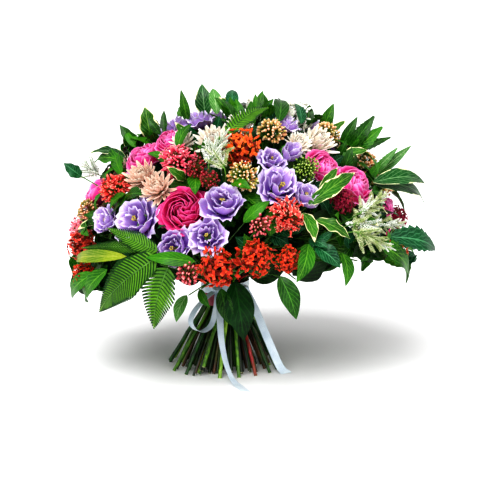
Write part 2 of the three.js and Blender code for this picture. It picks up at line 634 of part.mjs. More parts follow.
// A leaf and its stalk as one thin blade: rows of three points, folded along the rib and arched
const EDGES = {
  plain: { widths: [0.86, 0.8], waves: [0, 0] },
  waved: { widths: [0.7, 1, 0.62], waves: [0.2, -0.2, 0.2] },
  cut: { widths: [1, 0.58, 0.8], waves: [0, 0, 0] },
};
function leaf(start, root, tip, width, edge) {
  const { widths, waves } = EDGES[edge];
  const rows = widths.length + 1;
  const { along, length, wide, face, corner, back } = bladeWays(start, root, tip);
  const rib = (t) => root.clone().addScaledVector(along, t * length)
    .addScaledVector(face, 0.12 * length * Math.sin(Math.PI * t));
  const points = [];
  const pair = (p, thick) => points.push(
    p.clone().addScaledVector(thick, BLADE / 2), p.clone().addScaledVector(thick, -BLADE / 2)) - 2;
  const top = stalkFaces(pair, start, root, { wide, back, corner });
  let before = null;
  for (let r = 1; r < rows; r += 1) {
    const half = (widths[r - 1] * width) / 2;
    const [a, b, c] = [-1, 0, 1].map((s) => pair(
      rib(r / rows).addScaledVector(wide, s * half)
        .addScaledVector(face, Math.abs(s) * half * (0.16 + s * waves[r - 1])), face));
    if (before) top.push([before[0], a, b], [before[0], b, before[1]], [before[1], b, c], [before[1], c, before[2]]);
    else top.push([4, a, b], [4, b, 6], [6, b, c]);
    before = [a, b, c];
  }
  const last = pair(rib(1), face);
  top.push([before[0], last, before[1]], [before[1], last, before[2]]);
  return closedBlade(points, top);
}

// Directions of a blade on a stalk: along it, across it and out of its face, at the back of the stalk,
// and at the corner where the stalk goes over into the blade
function bladeWays(start, root, tip) {
  const along = tip.clone().sub(root);
  const length = along.length();
  along.normalize();
  const wide = new THREE.Vector3().crossVectors(along, root.clone().sub(HEART)).normalize();
  const face = new THREE.Vector3().crossVectors(wide, along);
  const back = new THREE.Vector3().crossVectors(wide, root.clone().sub(start)).normalize();
  const corner = face.clone().add(back).normalize();
  corner.multiplyScalar(1 / Math.max(0.5, corner.dot(face)));
  return { along, length, wide, face, corner, back };
}

// The top faces of a blade's stalk, whose four pairs of points come first
function stalkFaces(pair, start, root, { wide, back, corner }) {
  for (const s of [-0.4, 0.4]) pair(start.clone().addScaledVector(wide, s), back);
  for (const s of [-1.3, 1.3]) pair(root.clone().addScaledVector(wide, s), corner);
  return [[0, 4, 6], [0, 6, 2]];
}

// A thin blade closed from its top faces: the same faces below, and a rim along every open edge
function closedBlade(points, top) {
  const triangles = [];
  const edges = new Map();
  for (const [a, b, c] of top) {
    triangles.push([a, b, c], [a + 1, c + 1, b + 1]);
    for (const [p, q] of [[a, b], [b, c], [c, a]]) {
      if (edges.has(`${q},${p}`)) edges.delete(`${q},${p}`);
      else edges.set(`${p},${q}`, [p, q]);
    }
  }
  for (const [p, q] of edges.values()) {
    triangles.push([q, p, p + 1], [q, p + 1, q + 1]);
  }
  const made = solid(points, triangles);
  return made.volume() < 0 ? solid(points, triangles.map(([a, b, c]) => [a, c, b])) : made;
}

// A fern frond and its stalk as one arched blade, cut to the rib between its leaflets
function frond(start, root, tip, width, pairs) {
  const { along, length, wide, face, corner, back } = bladeWays(start, root, tip);
  const rib = (t) => root.clone().addScaledVector(along, t * length)
    .addScaledVector(face, 0.14 * length * Math.sin(Math.PI * t));
  const points = [];
  const pair = (p, thick) => points.push(
    p.clone().addScaledVector(thick, BLADE / 2), p.clone().addScaledVector(thick, -BLADE / 2)) - 2;
  const top = stalkFaces(pair, start, root, { wide, back, corner });
  let [a, b] = [4, 6];
  for (let i = 1; i <= pairs; i += 1) {
    const half = 1.3 - (0.7 * i) / pairs;
    const c = pair(rib(i / pairs).addScaledVector(wide, -half), face);
    const d = pair(rib(i / pairs).addScaledVector(wide, half), face);
    const t = (i - 0.5) / pairs;
    const reach = (width / 2) * Math.sin(Math.PI * (0.16 + 0.8 * t)) ** 0.8;
    const ahead = rib(t).addScaledVector(along, 0.42 * reach).addScaledVector(face, 0.12 * reach);
    const left = pair(ahead.clone().addScaledVector(wide, -reach), face);
    const right = pair(ahead.clone().addScaledVector(wide, reach), face);
    top.push([a, c, d], [a, d, b], [a, left, c], [d, right, b]);
    [a, b] = [c, d];
  }
  return closedBlade(points, top);
}

// What grows on a leafy stem is tried in turn with small bends until it is clear of everything
function firstClear(make) {
  for (const length of LENGTHS) {
    for (const bend of BENDS) {
      const shape = make(bend, length);
      if (clear(shape)) return shape;
    }
  }
  return null;
}

// A leafy stem, or a stem of fronds or plumes: a peg with every blade that finds room
function growOn(g) {
  const apart = 1.5;
  const parts = [pegOn(g, 2.5 + apart * g.blades.length)];
  const start = g.fork.clone().addScaledVector(g.way, 1.6);
  for (const blade of g.blades) {
    const shape = firstClear((bend, length) => bladeOn(g, start, blade, bend, length));
    if (shape) parts.push(shape);
    start.addScaledVector(g.way, apart);
  }
  return wasm.Manifold.union(parts);
}

// A leaf, frond or plume from the fork out to its foot, and over the head to its tip
function bladeOn(g, start, { foot, tip, width }, bend, size) {
  const root = bent(foot, bend);
  const end = root.clone().lerp(bent(tip, bend), size);
  const wide = width * (0.4 + 0.6 * size);
  if (g.type === 'plume') return plume(start, root, end, wide);
  return g.type === 'frond' ? frond(start, root, end, wide, g.pairs) : leaf(start, root, end, wide, g.edge);
}

finish('stems', makeStems(), COLOUR.stems, 0.55);
finish('tie_band', bandAround(BAND.inner, BAND.inner + BAND.thick, BAND.low, BAND.high), COLOUR.band, 0.5);
finish('ribbon', makeRibbon(), COLOUR.ribbon, 0.35);
for (const g of growing.filter((s) => s.type === 'spray')) {
  finish(g.name, makeSpray(g), COLOUR[g.kind], 0.6);
}
for (const g of growing.filter((s) => s.type !== 'spray')) {
  finish(g.name, growOn(g), COLOUR[g.type], 0.55);
}

// The finished group, with the origin moved to the middle of the bouquet's foot
const bouquet = new THREE.Group();
const box = new THREE.Box3();
for (const { shape } of finished) {
  const { min, max } = shape.boundingBox();
  box.expandByPoint(v(...min)).expandByPoint(v(...max));
}
const middle = box.getCenter(v(0, 0, 0));
for (const { name, shape, colour, roughness } of finished) {
  const { vertProperties, triVerts, numProp } = shape.getMesh();
  const positions = new Float32Array((vertProperties.length / numProp) * 3);
  for (let i = 0; i < positions.length / 3; i += 1) {
    for (let k = 0; k < 3; k += 1) positions[3 * i + k] = vertProperties[numProp * i + k];
  }
  const geometry = new THREE.BufferGeometry();
  geometry.setAttribute('position', new THREE.BufferAttribute(positions, 3));
  geometry.setIndex(new THREE.BufferAttribute(new Uint32Array(triVerts), 1));
  geometry.computeVertexNormals();
  const mesh = new THREE.Mesh(geometry, new THREE.MeshStandardMaterial({ color: colour, roughness, metalness: 0 }));
  mesh.name = name;
  mesh.position.set(-middle.x, -middle.y, 0);
  bouquet.add(mesh);
}

export default bouquet;
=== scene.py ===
# Hand-tied mixed flower bouquet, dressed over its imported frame.
# Pieces are in metres. The plan of where things grow is in millimetres, as the part's source has it.
import math
import random

import bpy
import numpy as np
from mathutils import Matrix, Vector


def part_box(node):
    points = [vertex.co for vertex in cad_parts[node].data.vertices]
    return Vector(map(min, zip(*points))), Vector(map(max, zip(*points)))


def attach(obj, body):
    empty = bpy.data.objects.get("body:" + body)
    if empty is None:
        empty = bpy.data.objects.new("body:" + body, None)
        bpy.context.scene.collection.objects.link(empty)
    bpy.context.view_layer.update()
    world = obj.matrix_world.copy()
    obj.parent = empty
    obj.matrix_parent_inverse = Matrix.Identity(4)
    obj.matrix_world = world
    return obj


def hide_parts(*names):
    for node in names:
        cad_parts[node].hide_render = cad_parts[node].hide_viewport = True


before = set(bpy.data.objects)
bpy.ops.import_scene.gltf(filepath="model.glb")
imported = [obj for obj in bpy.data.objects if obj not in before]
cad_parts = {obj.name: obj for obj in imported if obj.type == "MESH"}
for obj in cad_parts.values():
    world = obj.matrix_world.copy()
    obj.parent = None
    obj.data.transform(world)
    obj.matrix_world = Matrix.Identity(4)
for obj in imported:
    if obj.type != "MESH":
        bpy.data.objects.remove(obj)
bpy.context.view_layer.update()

MM = 0.001  # metres
band_low, band_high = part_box("tie_band")
# The plan's origin is the stems' axis, which the band's middle marks in the frame
AXIS = Vector(((band_low.x + band_high.x) / 2, (band_low.y + band_high.y) / 2, 0))

# Camera, as in the photograph: a long lens that looks down a little
EYE = math.radians(12)
MM_PER_PIXEL = 1.3
PHOTO_SIDE = 480  # pixels
AIM = Vector((19.5, 0, 166))
DISTANCE = 3.0  # metres
SENSOR = 36

# The plan of the head, the neck, the feet and the tie, with radii and heights in millimetres
HEAD = {"x": 22, "y": 0, "z": 130, "across": 214, "deep": 190, "up": 205, "down": 95}
SIDE_MOST = 0.98  # how near the head's side a spot of the front may lie, for the head's half-width
HEART = Vector((6, 0, 112))
NECK = {"z": 99, "height": 35, "rings": [0, 7, 13.8, 20.5, 27], "places": [1, 6, 12, 18, 20]}
NECK_TOP = {"drop": 2, "narrowed": 0.92}
FOOT = {"radius": 75, "twist": 12, "jitter": 2.5}
FORK = {"low": 117, "slope": 0.24, "clear": 6, "ahead": 7, "rounds": 30}
# How far out from the heart towards its blooms or blades a stem forks
FORK_DEPTH = {"spray": 0.52, "plume": 0.42, "leafy": 0.34}
BAND = {"inner": 30.6, "low": 84.5, "high": 99.5}
RIBBON = {"inner": 30.6, "low": 100.5, "high": 114, "width": 10.5, "thick": 0.45}
# How far the ends of a blade stand off the head's surface
LIFT = {"foot": 5, "tip": 9, "reach": 22}
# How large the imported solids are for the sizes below
FULL = {"rose": 1.02, "lisianthus": 0.98, "bride": 1.05, "florets": 1.08, "buds": 1.05, "berries": 1.1}
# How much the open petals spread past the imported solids
OPEN = {"rose": 1.09, "lisianthus": 1.18, "bride": 1.18, "florets": 1.06, "buds": 1.1, "berries": 1.08,
        "tubes": 1.0}
# Crowded blooms are slid apart in rounds. Most rounds also pull each a little towards its first place.
ROUNDS = {"all": 80, "pulled": 60, "pull": 0.04, "gap": 1}
BLOOM_MIDDLE = 0.55  # how deep a bloom's middle lies under its front, for its size
BACK_APART = 29  # how far the blooms of a spray at the back stand from its middle

# Blooms of the front as [across, up, size], and the look of each spray
FRONT = [
    ("rose_centre", "rose", "deep", [[-60, 207, 52]]),
    ("rose_left", "rose", "pink", [[-107, 280, 45], [-78, 296, 30]]),
    ("rose_right", "rose", "pink", [[133, 258, 44], [168, 244, 48], [216, 211, 26]]),
    ("rose_far_left", "rose", "pink", [[-188, 235, 36]]),
    ("lisianthus_left", "lisianthus", "lavender", [[-112, 200, 50], [-155, 190, 30]]),
    ("lisianthus_centre", "lisianthus", "lavender", [[-4, 213, 42], [-27, 190, 38], [-48, 170, 38]]),
    ("lisianthus_right", "lisianthus", "lavender",
     [[58, 235, 44], [100, 224, 30], [58, 263, 30], [88, 271, 28]]),
    ("lisianthus_top_left", "lisianthus", "lavender", [[-69, 317, 38], [-34, 323, 32]]),
    ("lisianthus_top_right", "lisianthus", "lavender", [[82, 317, 30], [113, 321, 26]]),
    ("bride_left", "bride", "blush", [[-108, 246, 38], [-84, 232, 36]]),
    ("bride_top", "bride", "cream", [[-24, 298, 42], [-49, 292, 28], [20, 318, 28]]),
    ("bride_right", "bride", "cream", [[124, 294, 44], [98, 291, 28]]),
    ("bride_pink", "bride", "tubes_pink", [[-65, 262, 40]]),
    ("orange_top", "florets", "orange", [[26, 266, 42]]),
    ("orange_low", "florets", "red", [[-4, 134, 42], [38, 148, 38], [68, 140, 28]]),
    ("orange_left", "florets", ["tubes_coral", "rosy", "coral", "red"],
     [[-140, 230, 36], [-198, 178, 32], [-184, 154, 34], [-180, 122, 28]]),
    ("buds_cream", "buds", "lime", [[26, 234, 34]]),
    ("buds_coral", "buds", "coral", [[66, 196, 38]]),
    ("buds_tan", "buds", "tan", [[-172, 212, 28]]),
    ("buds_peach", "buds", "peach", [[195, 280, 32], [210, 250, 32], [148, 316, 28], [180, 306, 28]]),
    ("buds_top", "buds", "peach", [[58, 300, 32]]),
    ("orange_right", "florets", "crimson", [[150, 210, 26], [228, 192, 24]]),
    ("berries_red", "berries", "crimson", [[-34, 252, 24], [-20, 236, 22]]),
    ("berries_pink", "berries", "pink", [[50, 172, 24], [-34, 124, 26]]),
    ("berries_orange", "berries", "orange", [[224, 153, 28]]),
    ("berries_lime", "berries", "lime", [[103, 252, 30]]),
]
# Blooms of the back as turn and rise of the spray and the sizes round it
BACK = [
    ("back_rose_right", "rose", "deep", 122, 14, [48, 42]),
    ("back_rose_left", "rose", "pink", 228, 24, [50, 46, 40]),
    ("back_lisianthus_right", "lisianthus", "lavender", 132, 38, [44, 40, 36]),
    ("back_lisianthus_mid", "lisianthus", "lavender", 182, 14, [46, 42, 38]),
    ("back_lisianthus_top", "lisianthus", "lavender", 215, 58, [44, 38, 36]),
    ("back_bride_mid", "bride", "cream", 172, 42, [44, 40, 36]),
    ("back_bride_left", "bride", "blush", 252, 30, [44, 38, 34]),
    ("back_orange_right", "florets", "red", 152, 14, [42, 38]),
    ("back_white_top", "florets", "white", 138, 68, [42, 38, 36]),
    ("back_orange_left", "florets", "coral", 206, 30, [42, 36]),
]
# Leafy stems: name, leaf, looks, whether measured by turn and rise, and blades. A blade is its foot, its tip
# and its width, as [across, up, across, up, width] or [turn, rise, turn, rise, width].
LEAVES = [
    ("leaves_left_top", "waved", ["variegated", "dark", "edged", "mid", "deep", "lime"], False,
     [[-99, 300, -104, 336, 24], [-122, 293, -137, 312, 16], [-133, 276, -174, 277, 20],
      [-130, 262, -168, 261, 20], [-188, 248, -206, 268, 16], [-136, 235, -143, 265, 15]]),
    ("leaves_top_left", "plain", ["mid", "edged", "sage", "deep", "mid", "lime"], False,
     [[-53, 328, -57, 358, 12], [-26, 326, -30, 365, 22], [-10, 326, -16, 357, 16], [10, 326, 9, 355, 16],
      [-58, 278, -38, 299, 17], [0, 230, 22, 217, 15]]),
    ("leaves_top_right", "plain", ["dark", "deep", "dark", "lime", "dark"], False,
     [[68, 312, 69, 341, 20], [97, 314, 88, 338, 15], [108, 314, 110, 338, 14], [135, 310, 145, 338, 16],
      [160, 300, 169, 325, 14]]),
    ("leaves_lobed_right", "cut", ["dark", "mid", "dark", "sage"], False,
     [[174, 300, 191, 326, 26], [178, 296, 202, 312, 26], [182, 286, 222, 292, 16],
      [206, 262, 222, 285, 15]]),
    ("leaves_dark_right", "plain", ["sage", "edged", "edged", "mid"], False,
     [[214, 244, 251, 273, 13], [190, 235, 260, 235, 24], [184, 228, 263, 205, 28],
      [168, 281, 188, 243, 14]]),
    ("leaves_variegated", "waved", "variegated", False,
     [[103, 205, 156, 240, 24], [110, 224, 127, 244, 15], [87, 194, 96, 155, 23], [114, 186, 148, 160, 21]]),
    ("leaves_cut_right", "cut", ["deep", "mid"], False, [[206, 166, 270, 150, 34], [196, 160, 234, 120, 32]]),
    ("leaves_hanging", "plain", ["dark", "mid", "deep", "mid"], False,
     [[66, 128, 84, 77, 25], [103, 158, 84, 110, 22], [112, 154, 136, 126, 24], [146, 146, 142, 105, 20]]),
    ("leaves_low_left", "plain", ["olive", "mid", "sage", "mid", "lime", "lime"], False,
     [[-118, 152, -190, 146, 16], [-170, 122, -195, 88, 22], [-156, 122, -176, 84, 22],
      [-134, 122, -155, 86, 22], [-34, 136, -91, 139, 17], [-8, 154, 23, 174, 15]]),
    ("back_leaves_right", "cut", "mid", True,
     [[112, 4, 108, -20, 32], [130, 4, 134, -22, 32], [106, 30, 94, 16, 26], [150, 2, 148, -24, 30],
      [148, 52, 132, 42, 26]]),
    ("back_leaves_mid", "plain", "dark", True,
     [[172, 2, 170, -22, 30], [190, 2, 194, -22, 30], [166, 28, 156, 16, 24], [192, 44, 186, 28, 26],
      [200, 74, 176, 62, 26]]),
    ("back_leaves_left", "waved", "mid", True,
     [[214, 2, 212, -22, 30], [236, 2, 240, -20, 30], [252, 6, 256, -16, 28], [224, 38, 232, 24, 26],
      [258, 40, 266, 52, 24]]),
]
# The leaves that hang over the tie are measured in the plan's own x, y and z
OVER_TIE = ("leaves_over_tie", "plain", ["night", "dark", "lime", "sage"],
            [[12, -62, 126, 24, -70, 50, 36], [-4, -68, 118, 9, -72, 70, 20],
             [-22, -76, 118, -8, -84, 96, 12], [-46, -84, 112, -60, -88, 78, 16]])
OVER_TIE_FORK = Vector((6, -46, 138))
# Fronds are measured by turn and rise where the second word says so
FRONDS = [
    ("fern_low_left", False, [[-78, 140, -147, 74, 52]]),
    ("fern_low_mid", False, [[-74, 130, -88, 58, 48]]),
    ("fern_left", False, [[-82, 138, -140, 182, 30], [-85, 143, -175, 158, 22]]),
    ("fern_top", False, [[4, 281, 56, 315, 32]]),
    ("back_ferns", True, [[142, 16, 152, -16, 44], [244, 20, 248, -14, 42]]),
]
# Plumes, with how far each stands proud of the blooms
PLUMES = [
    ("astilbe_right", 12, [[146, 176, 230, 178, 26], [154, 188, 198, 218, 22], [150, 168, 200, 146, 24]]),
    ("astilbe_centre", 12, [[-17, 246, 4, 284, 26], [-10, 240, -24, 282, 20]]),
    ("astilbe_left", 4, [[-156, 241, -188, 262, 22]]),
]
# The small bends that a blade may have been given to pass clear of the others, in degrees
BENDS = [(0, 0), (3, 0), (-3, 0), (0, 3), (0, -3), (6, 0), (-6, 0), (0, 6), (0, -6), (9, 0), (-9, 0),
         (0, 9), (0, -9), (12, 0), (-12, 0), (0, 12), (0, -12), (10, 10), (-10, 10), (10, -10), (-10, -10),
         (18, 0), (-18, 0), (0, 18), (0, -18), (24, 0), (-24, 0)]
LENGTHS = [1, 0.88, 0.76, 0.64]  # and the shares of its length that it may have been left
BETTER_BY = 0.2  # a bend counts only where it is nearer than the one before by this much


# The plan: where each bloom, leaf and stem is

def drawer(seed):
    """A seeded draw between two values, the same as in the part's source."""
    state = [seed]

    def draw(low, high):
        state[0] = (state[0] * 1664525 + 1013904223) % 4294967296
        return low + (high - low) * state[0] / 4294967296
    return draw


def settle_on(point):
    """The point moved to lie on the head's surface."""
    middle = Vector((HEAD["x"], HEAD["y"], HEAD["z"]))
    out = point - middle
    rise = HEAD["up"] if point.z > HEAD["z"] else HEAD["down"]
    reach = math.sqrt((out.x / HEAD["across"]) ** 2 + (out.y / HEAD["deep"]) ** 2 + (out.z / rise) ** 2)
    return out / reach + middle


def seen_at(across, up):
    """The point of the head's front that is seen at this place."""
    c, s = math.cos(EYE), math.sin(EYE)
    x = max(-SIDE_MOST, min(SIDE_MOST, (across - HEAD["x"]) / HEAD["across"]))
    for rise in (HEAD["up"], HEAD["down"]):
        w = up / c - HEAD["z"]
        a = 1 / HEAD["deep"] ** 2 + (s / c / rise) ** 2
        b = -2 * w * s / c / rise ** 2
        q = (w / rise) ** 2 - (1 - x * x)
        y = (-b - math.sqrt(max(0, b * b - 4 * a * q))) / (2 * a)
        found = settle_on(Vector((HEAD["x"] + x * HEAD["across"], y, (up - y * s) / c)))
        if found.z >= HEAD["z"]:
            break
    return found


def facing(turn, rise):
    """The point of the head at this turn from the front and this rise."""
    t, r = math.radians(turn), math.radians(rise)
    up = HEAD["up"] if rise > 0 else HEAD["down"]
    return settle_on(Vector((HEAD["x"] + HEAD["across"] * math.cos(r) * math.sin(t),
                             -HEAD["deep"] * math.cos(r) * math.cos(t), HEAD["z"] + up * math.sin(r))))


def square_to(axis):
    """Two directions square to an axis and to each other."""
    help_way = Vector((0, 0, 1)) if abs(axis.z) < 0.9 else Vector((1, 0, 0))
    side = help_way.cross(axis).normalized()
    return side, axis.cross(side).normalized()


def plan_blooms():
    """Every bloom's spot and size, with crowded ones slid apart over the head."""
    draw = drawer(2024)
    sprays = []
    for name, kind, look, blooms in FRONT:
        sprays.append({"name": name, "kind": kind, "look": look, "blooms": [
            {"spot": seen_at(a, up), "size": FULL[kind] * size} for a, up, size in blooms]})
    for name, kind, look, turn, rise, sizes in BACK:
        middle = facing(turn, rise)
        side, other = square_to((middle - HEART).normalized())
        start = draw(0, 2 * math.pi)
        turns = [start + 2 * math.pi * i / len(sizes) for i in range(len(sizes))]
        sprays.append({"name": name, "kind": kind, "look": look, "blooms": [
            {"spot": settle_on(middle + side * BACK_APART * math.cos(a) + other * BACK_APART * math.sin(a)),
             "size": FULL[kind] * size} for a, size in zip(turns, sizes)]})
    blooms = [b for s in sprays for b in s["blooms"]]
    home = [b["spot"].copy() for b in blooms]
    for round_ in range(ROUNDS["all"]):
        centres = [b["spot"] - (b["spot"] - HEART).normalized() * BLOOM_MIDDLE * b["size"] for b in blooms]
        for i, one in enumerate(blooms):
            for j in range(i + 1, len(blooms)):
                apart = centres[i] - centres[j]
                lack = 0.5 * (one["size"] + blooms[j]["size"]) + ROUNDS["gap"] - apart.length
                if lack <= 0:
                    continue
                apart = apart.normalized() * 0.5 * lack
                one["spot"] = one["spot"] + apart
                blooms[j]["spot"] = blooms[j]["spot"] - apart
                centres[i] = centres[i] + apart
                centres[j] = centres[j] - apart
        for b, h in zip(blooms, home):
            if round_ < ROUNDS["pulled"]:
                b["spot"] = b["spot"].lerp(h, ROUNDS["pull"])
            b["spot"] = settle_on(b["spot"])
    return sprays


def blade_ends(item, turned, proud=0):
    """Where a blade comes out of the head, its tip and its width."""
    a, b, c, d, width = item

    def off(spot, lift):
        return spot + (spot - HEART).normalized() * (lift + proud)
    if turned:
        return {"foot": off(facing(a, b), LIFT["foot"]), "width": width,
                "tip": off(facing(c, d), LIFT["reach"] if d < 0 else LIFT["tip"])}
    edge = seen_at(c, d)
    tip = off(edge, LIFT["tip"])
    out_x = c - edge.x
    out_z = (d - edge.y * math.sin(EYE)) / math.cos(EYE) - edge.z
    if math.hypot(out_x, out_z) > 1:
        tip = edge + Vector((out_x, 0, out_z))
    return {"foot": off(seen_at(a, b), LIFT["foot"]), "tip": tip, "width": width}


def fork_at(points, depth):
    """Where a spray's own stem ends and its stalks begin."""
    fork = HEART.lerp(sum(points, Vector()) / len(points), depth)
    fork.z = max(fork.z, FORK["low"] + FORK["slope"] * math.hypot(fork.x, fork.y))
    return fork


def plan_growth():
    """Sprays, plumes, fronds and leafy stems in the order that the neck takes them."""
    growing = [dict(s, type="spray", fork=fork_at([b["spot"] for b in s["blooms"]], FORK_DEPTH["spray"]))
               for s in plan_blooms()]
    for name, proud, items in PLUMES:
        blades = [blade_ends(item, False, proud) for item in items]
        growing.append({"name": name, "type": "plume", "blades": blades,
                        "fork": fork_at([b["foot"] for b in blades], FORK_DEPTH["plume"])})
    for name, turned, items in FRONDS:
        blades = [blade_ends(item, turned) for item in items]
        growing.append({"name": name, "type": "frond", "blades": blades,
                        "fork": fork_at([b["foot"] for b in blades], FORK_DEPTH["leafy"])})
    for name, edge, look, turned, items in LEAVES:
        blades = [blade_ends(item, turned) for item in items]
        growing.append({"name": name, "type": "leaves", "edge": edge, "look": look, "blades": blades,
                        "fork": fork_at([b["foot"] for b in blades], FORK_DEPTH["leafy"])})
    name, edge, look, items = OVER_TIE
    growing.append({"name": name, "type": "leaves", "edge": edge, "look": look, "fork": OVER_TIE_FORK.copy(),
                    "blades": [{"foot": Vector(i[:3]), "tip": Vector(i[3:6]), "width": i[6]} for i in items]})

    rows = sorted(growing, key=lambda g: (g["fork"] - HEART).angle(Vector((0, 0, 1))))
    first = 0
    for radius, places in zip(NECK["rings"], NECK["places"]):
        def turn_of(g):
            out = g["fork"] - HEART
            return math.atan2(out.y, out.x)
        ring = sorted(rows[first:first + places], key=turn_of)
        first += places
        step = 2 * math.pi / len(ring)
        slip = sum(turn_of(g) - k * step for k, g in enumerate(ring)) / len(ring)
        for k, g in enumerate(ring):
            g["neck"] = (radius, k * step + slip)
    clear_forks(growing)
    return growing


def neck_point(neck, z, spread, twist):
    """Where a stem with this place in the neck passes a height."""
    radius, turn = neck
    return Vector((radius * spread * math.cos(turn + twist), radius * spread * math.sin(turn + twist), z))


def top_of(g):
    """Where a stem leaves the neck."""
    return neck_point(g["neck"], NECK["z"] + NECK["height"] / 2 - NECK_TOP["drop"], NECK_TOP["narrowed"], 0)


def clear_forks(growing):
    """Forks stand clear of the stems that pass them."""
    tops = [top_of(g) for g in growing]
    for _ in range(FORK["rounds"]):
        for i, g in enumerate(growing):
            for k, other in enumerate(growing):
                if i == k:
                    continue
                beyond = g["fork"].lerp(tops[i], -FORK["ahead"] / (g["fork"] - tops[i]).length)
                run = other["fork"] - tops[k]
                for point in (g["fork"].copy(), beyond):
                    t = max(0, min(1, (point - tops[k]).dot(run) / run.length_squared))
                    away = point - (tops[k] + run * t)
                    if away.length < FORK["clear"]:
                        shift = 0.5 * (FORK["clear"] - away.length) + 0.1
                        g["fork"] = g["fork"] + away.normalized() * shift


def swung(tip, yaw, pitch):
    """The point swung round the heart by two small angles."""
    out = tip - HEART
    side, other = square_to(out.normalized())
    reach = out.length
    moved = out + side * reach * math.tan(math.radians(yaw)) + other * reach * math.tan(math.radians(pitch))
    return moved.normalized() * reach + HEART


def as_built(node, blade):
    """The blade's root and tip as its solid has them, after any bend clear of its neighbours."""
    points = np.array([v.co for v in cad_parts[node].data.vertices]) / MM
    points -= np.array(AXIS) / MM
    best = None
    for size in LENGTHS:
        for bend in BENDS:
            root = swung(blade["foot"], *bend)
            end = root.lerp(swung(blade["tip"], *bend), size)
            miss = np.abs(np.linalg.norm(points - np.array(end), axis=1)).min()
            if best is None or miss < best[0] - BETTER_BY:
                best = (miss, root, end, blade["width"] * (0.4 + 0.6 * size))
    return best[1:]


def at(point):
    """A place of the plan as a place in the frame."""
    return point * MM + AXIS


# Tools of the bench

def alone(obj):
    """Only this object is selected and active."""
    bpy.ops.object.select_all(action="DESELECT")
    obj.select_set(True)
    bpy.context.view_layer.objects.active = obj
    return obj


def start_with(kind, **settings):
    """A new primitive, with nothing else selected."""
    bpy.ops.object.select_all(action="DESELECT")
    getattr(bpy.ops.mesh, f"primitive_{kind}_add")(**settings)
    return bpy.context.object


def finish_with(obj, kind, **settings):
    """A modifier added with its settings and applied."""
    modifier = obj.modifiers.new(kind.title(), kind)
    for key, value in settings.items():
        setattr(modifier, key, value)
    alone(obj)
    bpy.ops.object.modifier_apply(modifier=modifier.name)
    return obj


def coat(obj, material):
    """The object with this material alone."""
    obj.data.materials.clear()
    obj.data.materials.append(material)
    return obj


def points_of(obj):
    """The mesh's points as rows of x, y and z."""
    co = np.empty(len(obj.data.vertices) * 3)
    obj.data.vertices.foreach_get("co", co)
    return co.reshape(-1, 3)


def put_points(obj, points):
    """The mesh's points moved to these places."""
    obj.data.vertices.foreach_set("co", np.ascontiguousarray(points, dtype=np.float64).ravel())
    obj.data.update()
    return obj


def copy_of(obj, matrix=None):
    """A copy with its own mesh, moved by the matrix."""
    made = obj.copy()
    made.data = obj.data.copy()
    bpy.context.scene.collection.objects.link(made)
    if matrix is not None:
        made.data.transform(matrix)
        made.data.update()
    return made


def joined(name, parts):
    """Several objects made one mesh."""
    bpy.ops.object.select_all(action="DESELECT")
    for part in parts:
        part.select_set(True)
    bpy.context.view_layer.objects.active = parts[0]
    if len(parts) > 1:
        bpy.ops.object.join()
    made = bpy.context.view_layer.objects.active
    made.name = name
    made.data.name = name
    return made


def smooth(obj, angle=None):
    """Shaded smooth all over, or up to edges sharper than an angle in degrees."""
    alone(obj)
    if angle is None:
        bpy.ops.object.shade_smooth()
    else:
        bpy.ops.object.shade_smooth_by_angle(angle=math.radians(angle))
    return obj


def stand(foot, along, spin, size):
    """A matrix that stands a pattern of half-width 1 on its foot, facing along."""
    side, other = square_to(along)
    turned = Matrix((side, other, along)).transposed().to_4x4()
    return Matrix.Translation(foot) @ turned @ Matrix.Rotation(spin, 4, "Z") @ Matrix.Scale(size, 4)


def tubes(name, runs, material, sides):
    """Round stalks along smooth runs of points with a thickness at each, all in one mesh."""
    line = bpy.data.curves.new(name, "CURVE")
    line.dimensions = "3D"
    line.bevel_depth = 1
    line.bevel_resolution = sides
    line.use_fill_caps = True
    for points, radii in runs:
        spline = line.splines.new("POLY")
        spline.points.add(len(points) - 1)
        for k, (p, r) in enumerate(zip(points, radii)):
            spline.points[k].co = (*p, 1)
            spline.points[k].radius = r
    made = bpy.data.objects.new(name, line)
    bpy.context.scene.collection.objects.link(made)
    alone(made)
    bpy.ops.object.convert(target="MESH")
    made = bpy.context.object
    coat(made, material)
    return smooth(made, 50)


def through(points, steps):
    """A smooth run through a few points."""
    ends = [points[0] * 2 - points[1], *points, points[-1] * 2 - points[-2]]
    run = []
    for i in range(1, len(ends) - 2):
        a, b, c, d = ends[i - 1:i + 3]
        for k in range(steps):
            t = k / steps
            run.append(0.5 * (2 * b + (c - a) * t + (2 * a - 5 * b + 4 * c - d) * t * t
                              + (3 * b - a - 3 * c + d) * t ** 3))
    run.append(points[-1].copy())
    return run


# Finishes

def rgb(code):
    """A colour as a screen shows it, made linear."""
    parts = [int(code[i:i + 2], 16) / 255 for i in (0, 2, 4)]
    return (*[p / 12.92 if p <= 0.04045 else ((p + 0.055) / 1.055) ** 2.4 for p in parts], 1)


